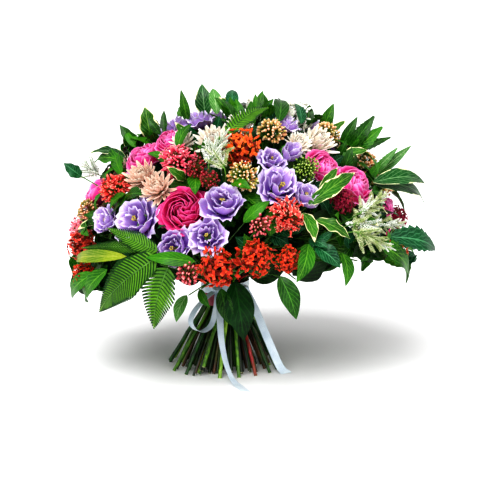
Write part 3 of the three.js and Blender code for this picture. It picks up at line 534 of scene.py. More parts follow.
class Nodes:
    """Short words for wiring a node tree."""

    def __init__(self, tree):
        self.tree = tree

    def add(self, kind, settings=None, **inputs):
        node = self.tree.nodes.new(kind)
        for key, value in (settings or {}).items():
            setattr(node, key, value)
        for key, value in inputs.items():
            self.set(node, key.replace("_", " "), value)
        return node

    def set(self, node, socket, value):
        target = node.inputs[int(socket)] if socket.isdigit() else node.inputs[socket]
        if isinstance(value, bpy.types.NodeSocket):
            self.tree.links.new(value, target)
        else:
            target.default_value = value

    def maths(self, operation, a, b=0.0):
        node = self.tree.nodes.new("ShaderNodeMath")
        node.operation = operation
        self.set(node, "0", a)
        self.set(node, "1", b)
        return node.outputs[0]

    def mix(self, factor, a, b, blend="MIX"):
        node = self.tree.nodes.new("ShaderNodeMix")
        node.data_type = "RGBA"
        node.blend_type = blend
        self.set(node, "0", factor)
        self.set(node, "6", a)
        self.set(node, "7", b)
        return node.outputs[2]

    def ramp(self, value, low, high):
        """0 at low and 1 at high, with a soft start and end."""
        node = self.tree.nodes.new("ShaderNodeMapRange")
        node.interpolation_type = "SMOOTHSTEP"
        for i, v in enumerate((value, low, high, 0.0, 1.0)):
            self.set(node, str(i), v)
        return node.outputs[0]

    def noise(self, vector, scale, detail, rough=0.5):
        node = self.tree.nodes.new("ShaderNodeTexNoise")
        self.set(node, "Vector", vector)
        self.set(node, "Scale", scale)
        self.set(node, "Detail", detail)
        self.set(node, "Roughness", rough)
        return node.outputs[0]


def new_group(name, inputs, outputs):
    """A shader group with its sockets: the tree, its wiring, what goes in and what comes out."""
    tree = bpy.data.node_groups.new(name, "ShaderNodeTree")
    kinds = {"c": "NodeSocketColor", "f": "NodeSocketFloat"}
    for label, kind in inputs:
        tree.interface.new_socket(name=label, in_out="INPUT", socket_type=kinds[kind])
    for label, kind in outputs:
        tree.interface.new_socket(name=label, in_out="OUTPUT", socket_type=kinds[kind])
    return tree, Nodes(tree), tree.nodes.new("NodeGroupInput").outputs, tree.nodes.new("NodeGroupOutput")


def petal_group():
    """Colour and relief of a petal, from its foot to its rim, with veins along it."""
    tree, n, put, out = new_group(
        "Petal", [("Foot And Shade", "c"), ("Body", "c"), ("Rim", "c"), ("Vein", "c"), ("Foot Reach", "f"),
                  ("Rim Reach", "f"), ("Vein Strength", "f"), ("Veins", "f"), ("Variation", "f")],
        [("Color", "c"), ("Height", "f")])
    place = n.add("ShaderNodeTexCoord")
    split = n.add("ShaderNodeSeparateXYZ", Vector=place.outputs["UV"])
    u, v = split.outputs[0], split.outputs[1]
    patch = n.noise(place.outputs["Object"], 60.0, 2.0)
    # The foot colour: partly the bloom's own deeper tone and partly painted shade deep in the bloom; the
    # florets' bright centres are their own colour
    foot = n.ramp(n.maths("ADD", v, n.maths("MULTIPLY", n.maths("SUBTRACT", patch, 0.5), 0.35)),
                  0.0, put["Foot Reach"])
    colour = n.mix(foot, put["Foot And Shade"], put["Body"])
    # The rim colour: partly the petal's own paler edge and partly a painted highlight on the rims
    side = n.maths("ABSOLUTE", n.maths("SUBTRACT", n.maths("MULTIPLY", u, 2.0), 1.0))
    edge = n.maths("MAXIMUM", v, n.maths("MULTIPLY", side, 0.97))
    rim = n.ramp(n.maths("ADD", edge, n.maths("MULTIPLY", n.maths("SUBTRACT", patch, 0.5), 0.3)),
                 n.maths("SUBTRACT", 1.0, put["Rim Reach"]), 1.0)
    colour = n.mix(rim, colour, put["Rim"])
    fan = n.add("ShaderNodeCombineXYZ", X=n.maths("MULTIPLY", u, put["Veins"]),
                Y=n.maths("MULTIPLY", v, 1.4))
    lines = n.noise(fan.outputs[0], 1.0, 2.0, 0.6)
    vein = n.maths("MULTIPLY", n.ramp(lines, 0.48, 0.72), put["Vein Strength"])
    colour = n.mix(vein, colour, put["Vein"])
    shade = n.ramp(n.noise(place.outputs["Object"], 22.0, 2.0), 0.3, 0.75)
    colour = n.mix(n.maths("MULTIPLY", shade, 0.25), colour, n.mix(1.0, colour, put["Vein"], "MULTIPLY"))
    apart = n.ramp(n.noise(place.outputs["Object"], 130.0, 1.0), 0.38, 0.62)
    colour = n.mix(n.maths("MULTIPLY", apart, put["Variation"]), colour, put["Vein"])
    n.set(out, "0", colour)
    n.set(out, "1", n.maths("ADD", n.maths("MULTIPLY", lines, 0.7), n.maths("MULTIPLY", patch, 0.4)))
    return tree


def leaf_group():
    """Colour and relief of a leaf: midrib, side veins, mottling and a margin."""
    tree, n, put, out = new_group(
        "Leaf", [("Body", "c"), ("Shade", "c"), ("Vein", "c"), ("Margin", "c"), ("Margin Width", "f"),
                 ("Side Veins", "f"), ("Vein Strength", "f")],
        [("Color", "c"), ("Height", "f")])
    place = n.add("ShaderNodeTexCoord")
    split = n.add("ShaderNodeSeparateXYZ", Vector=place.outputs["UV"])
    u, v = split.outputs[0], split.outputs[1]
    side = n.maths("ABSOLUTE", n.maths("SUBTRACT", n.maths("MULTIPLY", u, 2.0), 1.0))
    patch = n.noise(place.outputs["Object"], 26.0, 3.0)
    speck = n.noise(place.outputs["Object"], 260.0, 3.0, 0.6)
    colour = n.mix(n.ramp(patch, 0.34, 0.68), put["Body"], put["Shade"])
    colour = n.mix(n.maths("MULTIPLY", n.ramp(speck, 0.45, 0.75), 0.22), colour, put["Vein"])
    slant = n.maths("SUBTRACT", n.maths("MULTIPLY", v, put["Side Veins"]),
                    n.maths("MULTIPLY", side, 2.6))
    wave = n.maths("ABSOLUTE", n.maths("SUBTRACT", n.maths("FRACT", slant), 0.5))
    lines = n.ramp(wave, 0.16, 0.0)
    mid = n.ramp(side, 0.075, 0.02)
    veins = n.maths("MAXIMUM", mid, n.maths("MULTIPLY", lines, 0.6))
    colour = n.mix(n.maths("MULTIPLY", veins, put["Vein Strength"]), colour, put["Vein"])
    # The margin: on the variegated and edged leaves their own pale edge, on the ferns a dark one that is
    # painted shade between the leaflets
    torn = n.noise(place.outputs["Object"], 75.0, 2.0)
    edge = n.maths("ADD", n.maths("MAXIMUM", side, n.maths("SUBTRACT", n.maths("MULTIPLY", v, 1.25), 0.3)),
                   n.maths("MULTIPLY", n.maths("SUBTRACT", torn, 0.5), 0.9))
    inner = n.maths("SUBTRACT", 1.0, put["Margin Width"])
    margin = n.ramp(edge, inner, n.maths("ADD", inner, 0.08))
    colour = n.mix(margin, colour, put["Margin"])
    n.set(out, "0", colour)
    n.set(out, "1", n.maths("SUBTRACT", n.maths("SUBTRACT", 1.0, veins), n.maths("MULTIPLY", speck, 0.25)))
    return tree


def mottle_group():
    """Two colours mottled over a small piece, and a fine relief."""
    tree, n, put, out = new_group(
        "Mottle", [("Light", "c"), ("Dark", "c"), ("Tip", "c"), ("Scale", "f"), ("Tip Reach", "f")],
        [("Color", "c"), ("Height", "f")])
    place = n.add("ShaderNodeTexCoord")
    split = n.add("ShaderNodeSeparateXYZ", Vector=place.outputs["UV"])
    patch = n.noise(place.outputs["Object"], put["Scale"], 3.0)
    fine = n.noise(place.outputs["Object"], 900.0, 2.0)
    colour = n.mix(n.ramp(patch, 0.36, 0.64), put["Light"], put["Dark"])
    tip = n.ramp(split.outputs[1], n.maths("SUBTRACT", 1.0, put["Tip Reach"]), 1.0)
    colour = n.mix(tip, colour, put["Tip"])
    n.set(out, "0", colour)
    n.set(out, "1", n.maths("ADD", n.maths("MULTIPLY", patch, 0.5), n.maths("MULTIPLY", fine, 0.5)))
    return tree


PETAL = petal_group()
LEAF = leaf_group()
MOTTLE = mottle_group()


def finish_of(name, group, inputs, rough, bump, soft, soft_tint, coat_weight=0.0, sheen=0.0, gloss=0.4):
    """A material: one Principled shader fed by a group, with a bump."""
    made = bpy.data.materials.new(name)
    made.use_nodes = True
    n = Nodes(made.node_tree)
    shader = made.node_tree.nodes["Principled BSDF"]
    effect = n.add("ShaderNodeGroup", {"node_tree": group})
    for key, value in inputs.items():
        effect.inputs[key].default_value = rgb(value) if isinstance(value, str) else value
    n.set(shader, "Base Color", effect.outputs["Color"])
    relief = n.add("ShaderNodeBump", Strength=bump, Distance=0.0006, Height=effect.outputs["Height"])
    n.set(shader, "Normal", relief.outputs[0])
    shader.inputs["Roughness"].default_value = rough
    shader.inputs["Specular IOR Level"].default_value = gloss
    shader.inputs["Subsurface Weight"].default_value = soft
    shader.inputs["Subsurface Radius"].default_value = soft_tint
    shader.inputs["Subsurface Scale"].default_value = 0.004
    shader.inputs["Coat Weight"].default_value = coat_weight
    shader.inputs["Coat Roughness"].default_value = 0.25
    shader.inputs["Sheen Weight"].default_value = sheen
    return made


# The foot colour is partly painted shade deep in the bloom, and the rim colour partly a painted highlight
def petal_finish(name, foot, body, rim, vein, foot_reach, rim_reach, strength, veins=14.0, rough=0.55,
                 variation=0.0):
    return finish_of(name, PETAL, {
        "Foot And Shade": foot, "Body": body, "Rim": rim, "Vein": vein, "Foot Reach": foot_reach,
        "Rim Reach": rim_reach, "Vein Strength": strength, "Veins": veins, "Variation": variation},
        rough, 0.35, soft=0.12, soft_tint=(1, 0.4, 0.4), sheen=0.06, gloss=0.3)


def leaf_finish(name, body, shade, vein, margin=None, width=0.0, side_veins=7.0, strength=0.6, rough=0.42):
    return finish_of(name, LEAF, {
        "Body": body, "Shade": shade, "Vein": vein, "Margin": margin or body, "Margin Width": width,
        "Side Veins": side_veins, "Vein Strength": strength},
        rough, 0.3, soft=0.05, soft_tint=(0.5, 1, 0.2), gloss=0.22)


def mottle_finish(name, light, dark, tip, scale, tip_reach, rough=0.45, bump=0.3, shine=0.0):
    return finish_of(name, MOTTLE, {
        "Light": light, "Dark": dark, "Tip": tip, "Scale": scale, "Tip Reach": tip_reach},
        rough, bump, soft=0.08, soft_tint=(1, 0.5, 0.3), coat_weight=shine)


# Petal finishes as foot, body, rim and vein colours. The darker feet of the roses, lisianthus and brides are
# partly painted shade, and the paler rims partly painted highlight.
PETALS = {
    ("rose", "pink"): petal_finish("rose_pink", "b3105c", "f24ba8", "ffa2d8", "d01c86", 0.5, 0.22, 0.3),
    ("rose", "deep"): petal_finish("rose_deep", "7c0440", "e6187a", "fb66ac", "a00a50", 0.7, 0.22, 0.3),
    ("lisianthus", "lavender"): petal_finish(
        "lisianthus_lavender", "6a34a8", "c4a2e2", "f0e6f8", "9058c2", 0.7, 0.3, 0.35, 18.0),
    # The brides' pinkish-brown feet are partly their blush and partly painted shade between the bracts
    ("bride", "cream"): petal_finish(
        "bride_cream", "b88c7c", "f6eede", "fffef8", "d8bca4", 0.6, 0.3, 0.15, 3.0),
    ("bride", "blush"): petal_finish(
        "bride_blush", "9c5c50", "e6c4b0", "f8e8d6", "c88c7c", 0.6, 0.3, 0.18, 3.0),
    ("florets", "orange"): petal_finish(
        "florets_orange", "ffc04a", "f46418", "ff9440", "c43a0a", 0.3, 0.3, 0.4, 5.0, 0.5, variation=0.6),
    ("florets", "red"): petal_finish(
        "florets_red", "ff9a2e", "e0380e", "f46232", "8c1402", 0.3, 0.3, 0.4, 5.0, 0.5, variation=0.6),
    # Dark red for the florets of a head's inner shell: painted shade between the outer stars
    ("florets", "inner"): petal_finish(
        "florets_inner_shade", "7c1206", "8e1c08", "b83a14", "4a0802", 0.4, 0.25, 0.4, 5.0, 0.5),
    ("florets", "coral"): petal_finish(
        "florets_coral", "fb9a60", "e84a38", "fb8c7a", "a82418", 0.3, 0.3, 0.4, 5.0, 0.5, variation=0.6),
    # Burgundy: partly the florets' own colour and partly painted shade for where they sit among the plumes
    ("florets", "crimson"): petal_finish(
        "florets_crimson", "7c0a28", "8e1236", "c03458", "480418", 0.4, 0.25, 0.3, 5.0, 0.5),
    ("florets", "rosy"): petal_finish(
        "florets_rosy", "f0603c", "f78a9c", "fbb8c0", "d04468", 0.4, 0.25, 0.3, 5.0, 0.5),
    ("florets", "white"): petal_finish(
        "florets_white", "dfe6b0", "f7f4ea", "fffefa", "c8d4a0", 0.4, 0.25, 0.3, 5.0, 0.5),
}
GRAINS = {
    ("buds", "lime"): mottle_finish("buds_lime", "e6a468", "8a962c", "fff8e6", 62.0, 0.5),
    ("buds", "coral"): mottle_finish("buds_coral", "f2584a", "c8282a", "ffb09c", 200.0, 0.4),
    ("buds", "tan"): mottle_finish("buds_tan", "d88a6c", "8c8a3c", "fbcdb0", 120.0, 0.35),
    ("buds", "peach"): mottle_finish("buds_peach", "f2aa80", "a8a04c", "ffe6cc", 120.0, 0.4),
    ("buds", "tubes_pink"): mottle_finish("tubes_pink", "f8647c", "d42a56", "ffb4b8", 160.0, 0.45),
    ("buds", "tubes_coral"): mottle_finish("tubes_coral", "f45446", "c8262a", "ffa28e", 160.0, 0.45),
    ("berries", "crimson"): mottle_finish("berries_crimson", "a80f26", "580312", "d8384c", 210.0, 0.2, 0.25,
                                          0.2, 0.5),
    ("berries", "pink"): mottle_finish("berries_pink", "ec7078", "b03448", "fbbcae", 170.0, 0.35, 0.35, 0.2,
                                       0.3),
    ("berries", "orange"): mottle_finish("berries_orange", "f8701e", "c83412", "ffb050", 170.0, 0.2, 0.3,
                                         0.2, 0.4),
    ("berries", "lime"): mottle_finish("berries_lime", "9cba3c", "567f22", "dfe69a", 210.0, 0.35, 0.35, 0.2,
                                       0.3),
}
LEAF_LOOKS = {
    "dark": leaf_finish("leaf_dark", "1c4a0e", "0b2c0a", "5c9a3a", rough=0.32),
    "deep": leaf_finish("leaf_deep", "0c4f28", "06301c", "64a878", side_veins=8.0, strength=0.65, rough=0.34),
    "mid": leaf_finish("leaf_mid", "2b6e0e", "12450a", "7cb83c"),
    "lime": leaf_finish("leaf_lime", "2f7206", "185006", "6aa824"),
    "sage": leaf_finish("leaf_sage", "4c8638", "2e6228", "b4d498", side_veins=6.0, strength=0.7, rough=0.46),
    "olive": leaf_finish("leaf_olive", "87981a", "587a12", "c4c060", side_veins=6.0),
    "edged": leaf_finish("leaf_edged", "14501c", "0a3412", "84b078", "d9dcae", 0.1, 7.0, 0.65, 0.32),
    "night": leaf_finish("leaf_night", "08380c", "041e06", "2c6a24", side_veins=6.0, strength=0.5, rough=0.3),
    # Near-black leaves for deep in the head: painted shade
    "inner": leaf_finish("leaf_inner_shade", "0f2e0a", "061804", "2c5a1c", strength=0.5, rough=0.5),
    "variegated": leaf_finish("leaf_variegated", "164a0e", "2c6c12", "8cb850", "efe9b4", 0.17, 6.0),
}
# The ferns' dark margin is painted shade between the leaflets
FERNS = {
    "fresh": leaf_finish("fern", "4e8412", "2a5c08", "8cbc3c", "123c04", 0.28, 2.0, 0.4),
    "deep": leaf_finish("fern_deep", "387c14", "205c0e", "78b038", "103808", 0.28, 2.0, 0.4),
}
PLUME = mottle_finish("plume", "fbfbf6", "dfe4d8", "ffffff", 130.0, 0.3, 0.7, 0.2)
PLUME_GREEN = mottle_finish("plume_green", "dde0bc", "9cac6c", "f4f4e0", 130.0, 0.3, 0.7, 0.2)
CALYX = mottle_finish("calyx", "5f8f34", "36641f", "8cb450", 90.0, 0.2, 0.5)
STALK = mottle_finish("stalk", "4a7a28", "2a5218", "6a9a3c", 60.0, 0.05, 0.45, 0.3)
STALK_RED = mottle_finish("stalk_red", "94503c", "5c6a2c", "b0644c", 60.0, 0.05, 0.45, 0.3)
POLLEN = mottle_finish("pollen", "c4ae50", "7c6a2c", "e0d48c", 400.0, 0.2, 0.7, 0.4)


# Patterns of the blooms, each of half-width 1 and facing up

PETAL_THICK = 0.014
BRACT_THICK = 0.02
SEPALS = 5
DOME_MIDDLE = Vector((0, 0, 0.95))  # the middle of a head of florets, buds or berries over its foot
GOLDEN_TURN = 2.399963  # radians from one direction of a dome to the next


def cupped_petal(material, wide, high, centre, low, top, span, roll, ruffle, cells, point=0.0, lean=0.0):
    """One petal on a cup of this half-width and height about a centre.

    It goes from a low angle of the cup to a top one and spans an angle to each side, in degrees. Its rim
    rolls out and ruffles, its end may be pointed, and one of its sides may lean out over its neighbour."""
    petal = start_with("grid", x_subdivisions=cells[0], y_subdivisions=cells[1], size=2)
    p = points_of(petal)
    u, t = p[:, 0], (p[:, 1] + 1) / 2
    reach = np.sin(np.pi * np.clip(0.16 + 0.62 * t, 0, 1)) ** 0.8
    reach = reach * (1 - point * np.clip(t - 0.45, 0, 1) * 1.7)
    end = top - (np.abs(u) ** 2.6) * 0.42 * (top - low) * 0.6
    rise = np.radians(low + (end - low) * t)
    turn = np.radians(span) * u * reach
    out = wide * np.cos(rise)
    up = centre + high * np.sin(rise)
    rim = np.clip((t - 0.72) / 0.28, 0, 1) ** 2
    out = out + roll * rim + ruffle * np.sin(u * 7.5 + wide * 9) * t ** 2
    up = up - roll * 0.55 * rim + ruffle * 0.7 * np.cos(u * 9 + wide * 5) * t ** 2
    out = np.maximum(out, 0.02) + lean * u
    put_points(petal, np.stack([out * np.cos(turn), out * np.sin(turn), up], axis=1))
    coat(petal, material)
    finish_with(petal, "SOLIDIFY", thickness=PETAL_THICK, offset=0)
    return petal


def ring_of(petal, count, shift, draw, sway=0.06):
    """Copies of a petal round the bloom's axis, none quite like the next."""
    made = []
    for k in range(count):
        turn = 2 * math.pi * (k + shift) / count + draw.uniform(-0.09, 0.09)
        grown = Matrix.Diagonal((1 + draw.uniform(-sway, sway), 1 + draw.uniform(-sway, sway),
                                 1 + draw.uniform(-sway, sway), 1))
        made.append(copy_of(petal, Matrix.Rotation(turn, 4, "Z") @ grown))
    bpy.data.objects.remove(petal)
    return made


def calyx(wide, high):
    """The green cup under a bloom, with sepals."""
    cup = start_with("cone", vertices=10, radius1=0.06, radius2=wide, depth=high, end_fill_type="NGON",
                     location=(0, 0, high / 2))
    bpy.ops.object.transform_apply(location=True)
    coat(cup, CALYX)
    sepals = []
    for k in range(SEPALS):
        sepal = cupped_petal(CALYX, wide * 1.5, high * 1.2, high, -60, 20, 22, 0.1, 0, (2, 4), point=0.7)
        sepal.data.transform(Matrix.Rotation(2 * math.pi * k / SEPALS, 4, "Z"))
        sepals.append(sepal)
    return [cup, *sepals]


def rumple(obj, amount, draw):
    """Soft waves through a whole bloom above its foot, so that no two are alike."""
    p = points_of(obj)
    held = np.clip(p[:, 2], 0, 1)
    moved = p.copy()
    for axis in (0, 1, 2, 0, 1):
        way = np.array([draw.uniform(-3.4, 3.4) for _ in range(3)])
        moved[:, axis] += amount * held * np.sin(p @ way + draw.uniform(0, 6.3))
    put_points(obj, moved)


def make_rose(look, seed):
    """A full garden rose, its layers of petals ever tighter and more upright towards the heart."""
    draw = random.Random(seed)
    # Petals in a layer, then the values of one petal as cupped_petal takes them
    layers = [(5, 1.0, 0.62, 0.56, -85, 4, 47, 0.18), (5, 0.91, 0.62, 0.58, -80, 22, 46, 0.13),
              (6, 0.8, 0.6, 0.6, -75, 36, 40, 0.09), (6, 0.68, 0.57, 0.62, -60, 45, 40, 0.06),
              (5, 0.56, 0.53, 0.64, -50, 50, 48, 0.05), (5, 0.44, 0.49, 0.65, -50, 54, 50, 0.04),
              (4, 0.33, 0.45, 0.66, -40, 56, 58, 0.03), (3, 0.22, 0.41, 0.66, -30, 58, 72, 0.02),
              (3, 0.12, 0.38, 0.66, -30, 60, 80, 0.01)]
    parts = calyx(0.26, 0.2)
    for k, (count, wide, high, centre, low, top, span, roll) in enumerate(layers):
        petal = cupped_petal(PETALS["rose", look], wide, high, centre, low, top, span, roll, 0.015,
                             (4, 5), lean=0.05 + 0.02 * k)
        parts += ring_of(petal, count, 0.37 * k + draw.random() * 0.3, draw)
    return smooth(joined(f"pattern_rose_{look}_{seed}", parts), 60)


# Layers of a lisianthus, each as a count of petals and the values of one petal
LISIANTHUS = {
    "open": [(5, 1.0, 0.86, 0.88, -72, -8, 46, 0.17, 0.07), (5, 0.72, 0.86, 0.92, -66, 12, 48, 0.12, 0.06),
             (4, 0.42, 0.84, 0.9, -55, 16, 54, 0.08, 0.09)],
    "cup": [(5, 0.95, 0.92, 0.95, -74, 6, 46, 0.12, 0.06), (4, 0.64, 0.9, 0.98, -66, 22, 58, 0.09, 0.055),
            (4, 0.38, 0.86, 0.94, -50, 24, 56, 0.06, 0.07)],
    "bud": [(4, 0.72, 1.05, 1.0, -76, 26, 58, 0.08, 0.05), (4, 0.46, 1.0, 1.05, -60, 30, 58, 0.06, 0.06)],
}


def make_lisianthus(form):
    """A lisianthus with thin ruffled petals, and stamens where it is open enough to show them."""
    draw = random.Random(len(form))
    material = PETALS["lisianthus", "lavender"]
    parts = calyx(0.2, 0.24)
    for k, (count, wide, high, centre, low, top, span, roll, ruffle) in enumerate(LISIANTHUS[form]):
        petal = cupped_petal(material, wide, high, centre, low, top, span, roll, ruffle, (7, 7), lean=0.07)
        parts += ring_of(petal, count, 0.4 * k + draw.random() * 0.4, draw, 0.09)
    if form != "bud":
        ends = [Vector((0.08 * math.cos(a), 0.08 * math.sin(a), 0.92)) for a in (0, 1.26, 2.51, 3.77, 5.03)]
        parts.append(tubes("stamens", [([Vector((0, 0, 0.3)), e * 0.9, e], [0.02, 0.02, 0.05]) for e in ends],
                           POLLEN, 1))
    return smooth(joined(f"pattern_lisianthus_{form}", parts), 60)


def bract(material, long, wide, start, bend, foot, high):
    """One papery bract, which starts at an angle over level and bends up by another, in degrees."""
    made = start_with("grid", x_subdivisions=2, y_subdivisions=5, size=2)
    p = points_of(made)
    u, t = p[:, 0], (p[:, 1] + 1) / 2
    half = wide * np.sin(np.pi * np.clip(0.14 + 0.78 * t, 0, 1)) ** 0.8
    lean = np.radians(start + bend * t / 2)
    out, up = foot + long * t * np.cos(lean), high + long * t * np.sin(lean)
    cup = 0.55 * half * u ** 2
    put_points(made, np.stack([out - cup * np.sin(lean), u * half, up + cup * np.cos(lean)], axis=1))
    coat(made, material)
    finish_with(made, "SOLIDIFY", thickness=BRACT_THICK, offset=0)
    return made


def make_bride(look, seed):
    """A head of pointed papery bracts, the inner ones shorter, slimmer and more upright."""
    draw = random.Random(seed)
    material = PETALS["bride", look]
    # Bracts in a ring, then the values of one bract as bract takes them
    rings = [(14, 0.86, 0.11, 2, 48, 0.22, 0.38), (14, 0.84, 0.11, 18, 58, 0.2, 0.43),
             (13, 0.78, 0.11, 34, 64, 0.17, 0.48), (12, 0.7, 0.1, 48, 66, 0.15, 0.48),
             (10, 0.6, 0.1, 58, 60, 0.12, 0.48), (9, 0.52, 0.085, 67, 44, 0.09, 0.48),
             (6, 0.45, 0.07, 78, 24, 0.05, 0.48)]
    parts = calyx(0.3, 0.44)
    for k, (count, long, wide, start, bend, foot, high) in enumerate(rings):
        petal = bract(material, long, wide, start, bend, foot, high)
        parts += ring_of(petal, count, 0.5 * k + draw.random() * 0.2, draw, 0.16)
    return smooth(joined(f"pattern_bride_{look}_{seed}", parts), 60)


def over_dome(count, lowest, draw):
    """Directions spread evenly over a dome, from the top down to an angle below its middle."""
    made = []
    depth = 1 + math.sin(math.radians(lowest))
    for k in range(count):
        z = 1 - depth * (k + 0.5) / count
        a = k * GOLDEN_TURN + draw.uniform(-0.2, 0.2)
        r = math.sqrt(max(0, 1 - z * z))
        made.append(Vector((r * math.cos(a), r * math.sin(a), z)))
    return made


def head_stalks(ends, material):
    """Thin stalks that spread from a head's foot to its florets or grains."""
    runs = []
    for end in ends:
        bow = Vector((end.x * 0.35, end.y * 0.35, end.z * 0.62))
        runs.append(([Vector(), bow, end], [0.05, 0.028, 0.028]))
    return tubes("head_stalks", runs, material, 0)


def make_star(material):
    """One small floret with five pointed lobes, cupped a little, and a raised crown."""
    lobes = 5
    star = start_with("circle", vertices=2 * lobes, radius=1, fill_type="TRIFAN")
    p = points_of(star)
    r = np.hypot(p[:, 0], p[:, 1])
    order = np.round(np.arctan2(p[:, 1], p[:, 0]) / (np.pi / lobes)).astype(int)
    notch = (order % 2 == 1) & (r > 0.5)
    p[notch, :2] *= 0.42
    p[:, 2] = 0.3 * r
    p[notch, 2] = 0.05
    p[r < 0.5, 2] = 0
    put_points(star, p)
    layer = star.data.uv_layers.active or star.data.uv_layers.new()
    for loop in star.data.loops:
        reach = math.hypot(*p[loop.vertex_index][:2])
        layer.data[loop.index].uv = (0.5, min(1, reach))
    finish_with(star, "SOLIDIFY", thickness=0.1, offset=-1)
    crown = start_with("cone", vertices=5, radius1=0.16, radius2=0.24, depth=0.36, location=(0, 0, 0.16))
    bpy.ops.object.transform_apply(location=True)
    return joined("star", [coat(star, material), coat(crown, material)])


def make_florets(look, seed):
    """A domed head of star florets over deeper ones, with some still in bud."""
    draw = random.Random(seed)
    material = PETALS["florets", look]
    parts, ends = [], []
    star = make_star(material)
    # Orange, red and coral heads get their inner shell in dark red, a painted shade between the outer stars
    hidden = make_star(PETALS["florets", "inner"]) if look in ("orange", "red", "coral") else copy_of(star)
    bud = start_with("uv_sphere", segments=6, ring_count=4, radius=1)
    put_points(bud, points_of(bud) * np.array([0.5, 0.5, 1.1]))
    coat(bud, material)
    for pattern, count, near, far in ((star, 46, 0.76, 1.08), (hidden, 40, 0.48, 0.76)):
        for way in over_dome(count, 40, draw):
            end = DOME_MIDDLE + way * draw.uniform(near, far)
            ends.append(end - way * 0.08)
            size = draw.uniform(0.21, 0.31)
            if draw.random() < 0.2:
                parts.append(copy_of(bud, stand(end, way, 0, size * 0.55)))
            else:
                lean = (way + Vector([draw.uniform(-0.55, 0.55) for _ in range(3)])).normalized()
                parts.append(copy_of(pattern, stand(end, lean, draw.uniform(0, 6), size)))
    for pattern in (star, hidden, bud):
        bpy.data.objects.remove(pattern)
    stems = STALK_RED if look in ("coral", "crimson") else STALK
    return joined(f"pattern_florets_{look}_{seed}", [head_stalks(ends, stems), *parts])


# Small heads: how many grains, the shell they fill, their radius and how long they are for it
HEADS = {"buds": (130, 0.5, 1.02, 0.055, 0.092, 1.7), "tubes": (110, 0.55, 1.05, 0.07, 0.1, 2.6),
         "coral": (76, 0.5, 1.05, 0.06, 0.085, 2.4), "fine": (130, 0.45, 1.0, 0.05, 0.085, 1.1),
         "knobs": (92, 0.6, 1.02, 0.08, 0.13, 1.35), "berries": (52, 0.6, 0.98, 0.09, 0.14, 1.0)}
# The looks whose head isn't the usual one of its kind
HEAD_SHAPES = {"coral": "coral", "tubes_pink": "tubes", "tubes_coral": "tubes", "peach": "knobs",
               "tan": "knobs"}


def make_grains(kind, look, seed):
    """A head of buds, of short tubes or of berries, on thin stalks that spread from one point."""
    draw = random.Random(seed)
    material = GRAINS[kind, look]
    tubular = look in ("coral", "tubes_pink", "tubes_coral")
    shape = "fine" if (kind, look) == ("berries", "lime") else HEAD_SHAPES.get(look, kind)
    count, near, far, small, large, long = HEADS[shape]
    grain = start_with("uv_sphere", segments=7, ring_count=4, radius=1)
    p = points_of(grain)
    p[:, 2] *= long
    p[:, :2] *= 1 - 0.14 * p[:, 2:3]
    put_points(grain, p)
    coat(smooth(grain), material)
    star = make_star(material)
    parts, ends = [], []
    for way in over_dome(count, 46, draw):
        end = DOME_MIDDLE + way * draw.uniform(near, far)
        ends.append(end)
        loose = 0.45 if tubular else 0.3
        lean = (way + Vector([draw.uniform(-loose, loose) for _ in range(3)])).normalized()
        size = draw.uniform(small, large)
        parts.append(copy_of(grain, stand(end, lean, draw.uniform(0, 6), size)))
        if tubular and draw.random() < (0.75 if shape == "coral" else 0.4):
            wide = draw.uniform(0.15, 0.21)
            parts.append(copy_of(star, stand(end + lean * size * long * 0.9, lean, draw.uniform(0, 6), wide)))
    for pattern in (grain, star):
        bpy.data.objects.remove(pattern)
    stems = STALK_RED if look in ("tan", "pink", "coral", "crimson") else STALK
    return joined(f"pattern_{kind}_{look}_{seed}", [head_stalks(ends, stems), *parts])


# Patterns of the leaves, flat: x to 1 at the widest, y from 0 to 1, z their thickness

THIN = 0.02
PROUD = 4.5  # how far a blade that lies on the blooms is lifted off their open petals
FINE = (6, 18)  # cells across and along a leaf that is seen whole
COARSE = (4, 10)  # cells of the leaves that are repeated by the hundred
LEAFLETS = {"fewest": 12, "most": 30, "apart": 4.2}  # pairs on a frond, and the millimetres between them
SIDE_TURN = 2.4  # radians round a plume or its branch from one branch or tuft to the next


def flat_leaf(name, material, edge, cells):
    """A flat leaf whose outline is plain, waved or cut."""
    blade = start_with("grid", x_subdivisions=cells[0], y_subdivisions=cells[1], size=2)
    p = points_of(blade)
    u, t = p[:, 0], (p[:, 1] + 1) / 2
    half = np.sin(np.pi * t ** 0.82) ** 0.85 * (1 - 0.12 * t) + 0.03 * (1 - t)
    if edge == "cut":
        row = np.round(t * cells[1])
        half *= 1 - 0.2 * (row % 2) * np.clip(np.sin(np.pi * t) * 2.2, 0, 1)
    if edge == "waved":
        half *= 1 + 0.08 * np.sin(t * 19)
    half = np.maximum(half, 0.012)
    along = t + (0.035 * np.abs(u) * (np.round(t * cells[1]) % 2) if edge == "cut" else 0)
    put_points(blade, np.stack([u * half, along, 0 * t], axis=1))
    coat(blade, material)
    finish_with(blade, "SOLIDIFY", thickness=THIN, offset=0)
    blade.name = name
    return smooth(blade, 40)


def frond_reach(t):
    """The half-width of a frond along its rib: soon at its widest, then tapering to a point."""
    return np.minimum(1, 0.6 + 1.8 * t) * np.minimum(1, 1.34 * np.clip(1 - t, 0, 1) ** 0.95)


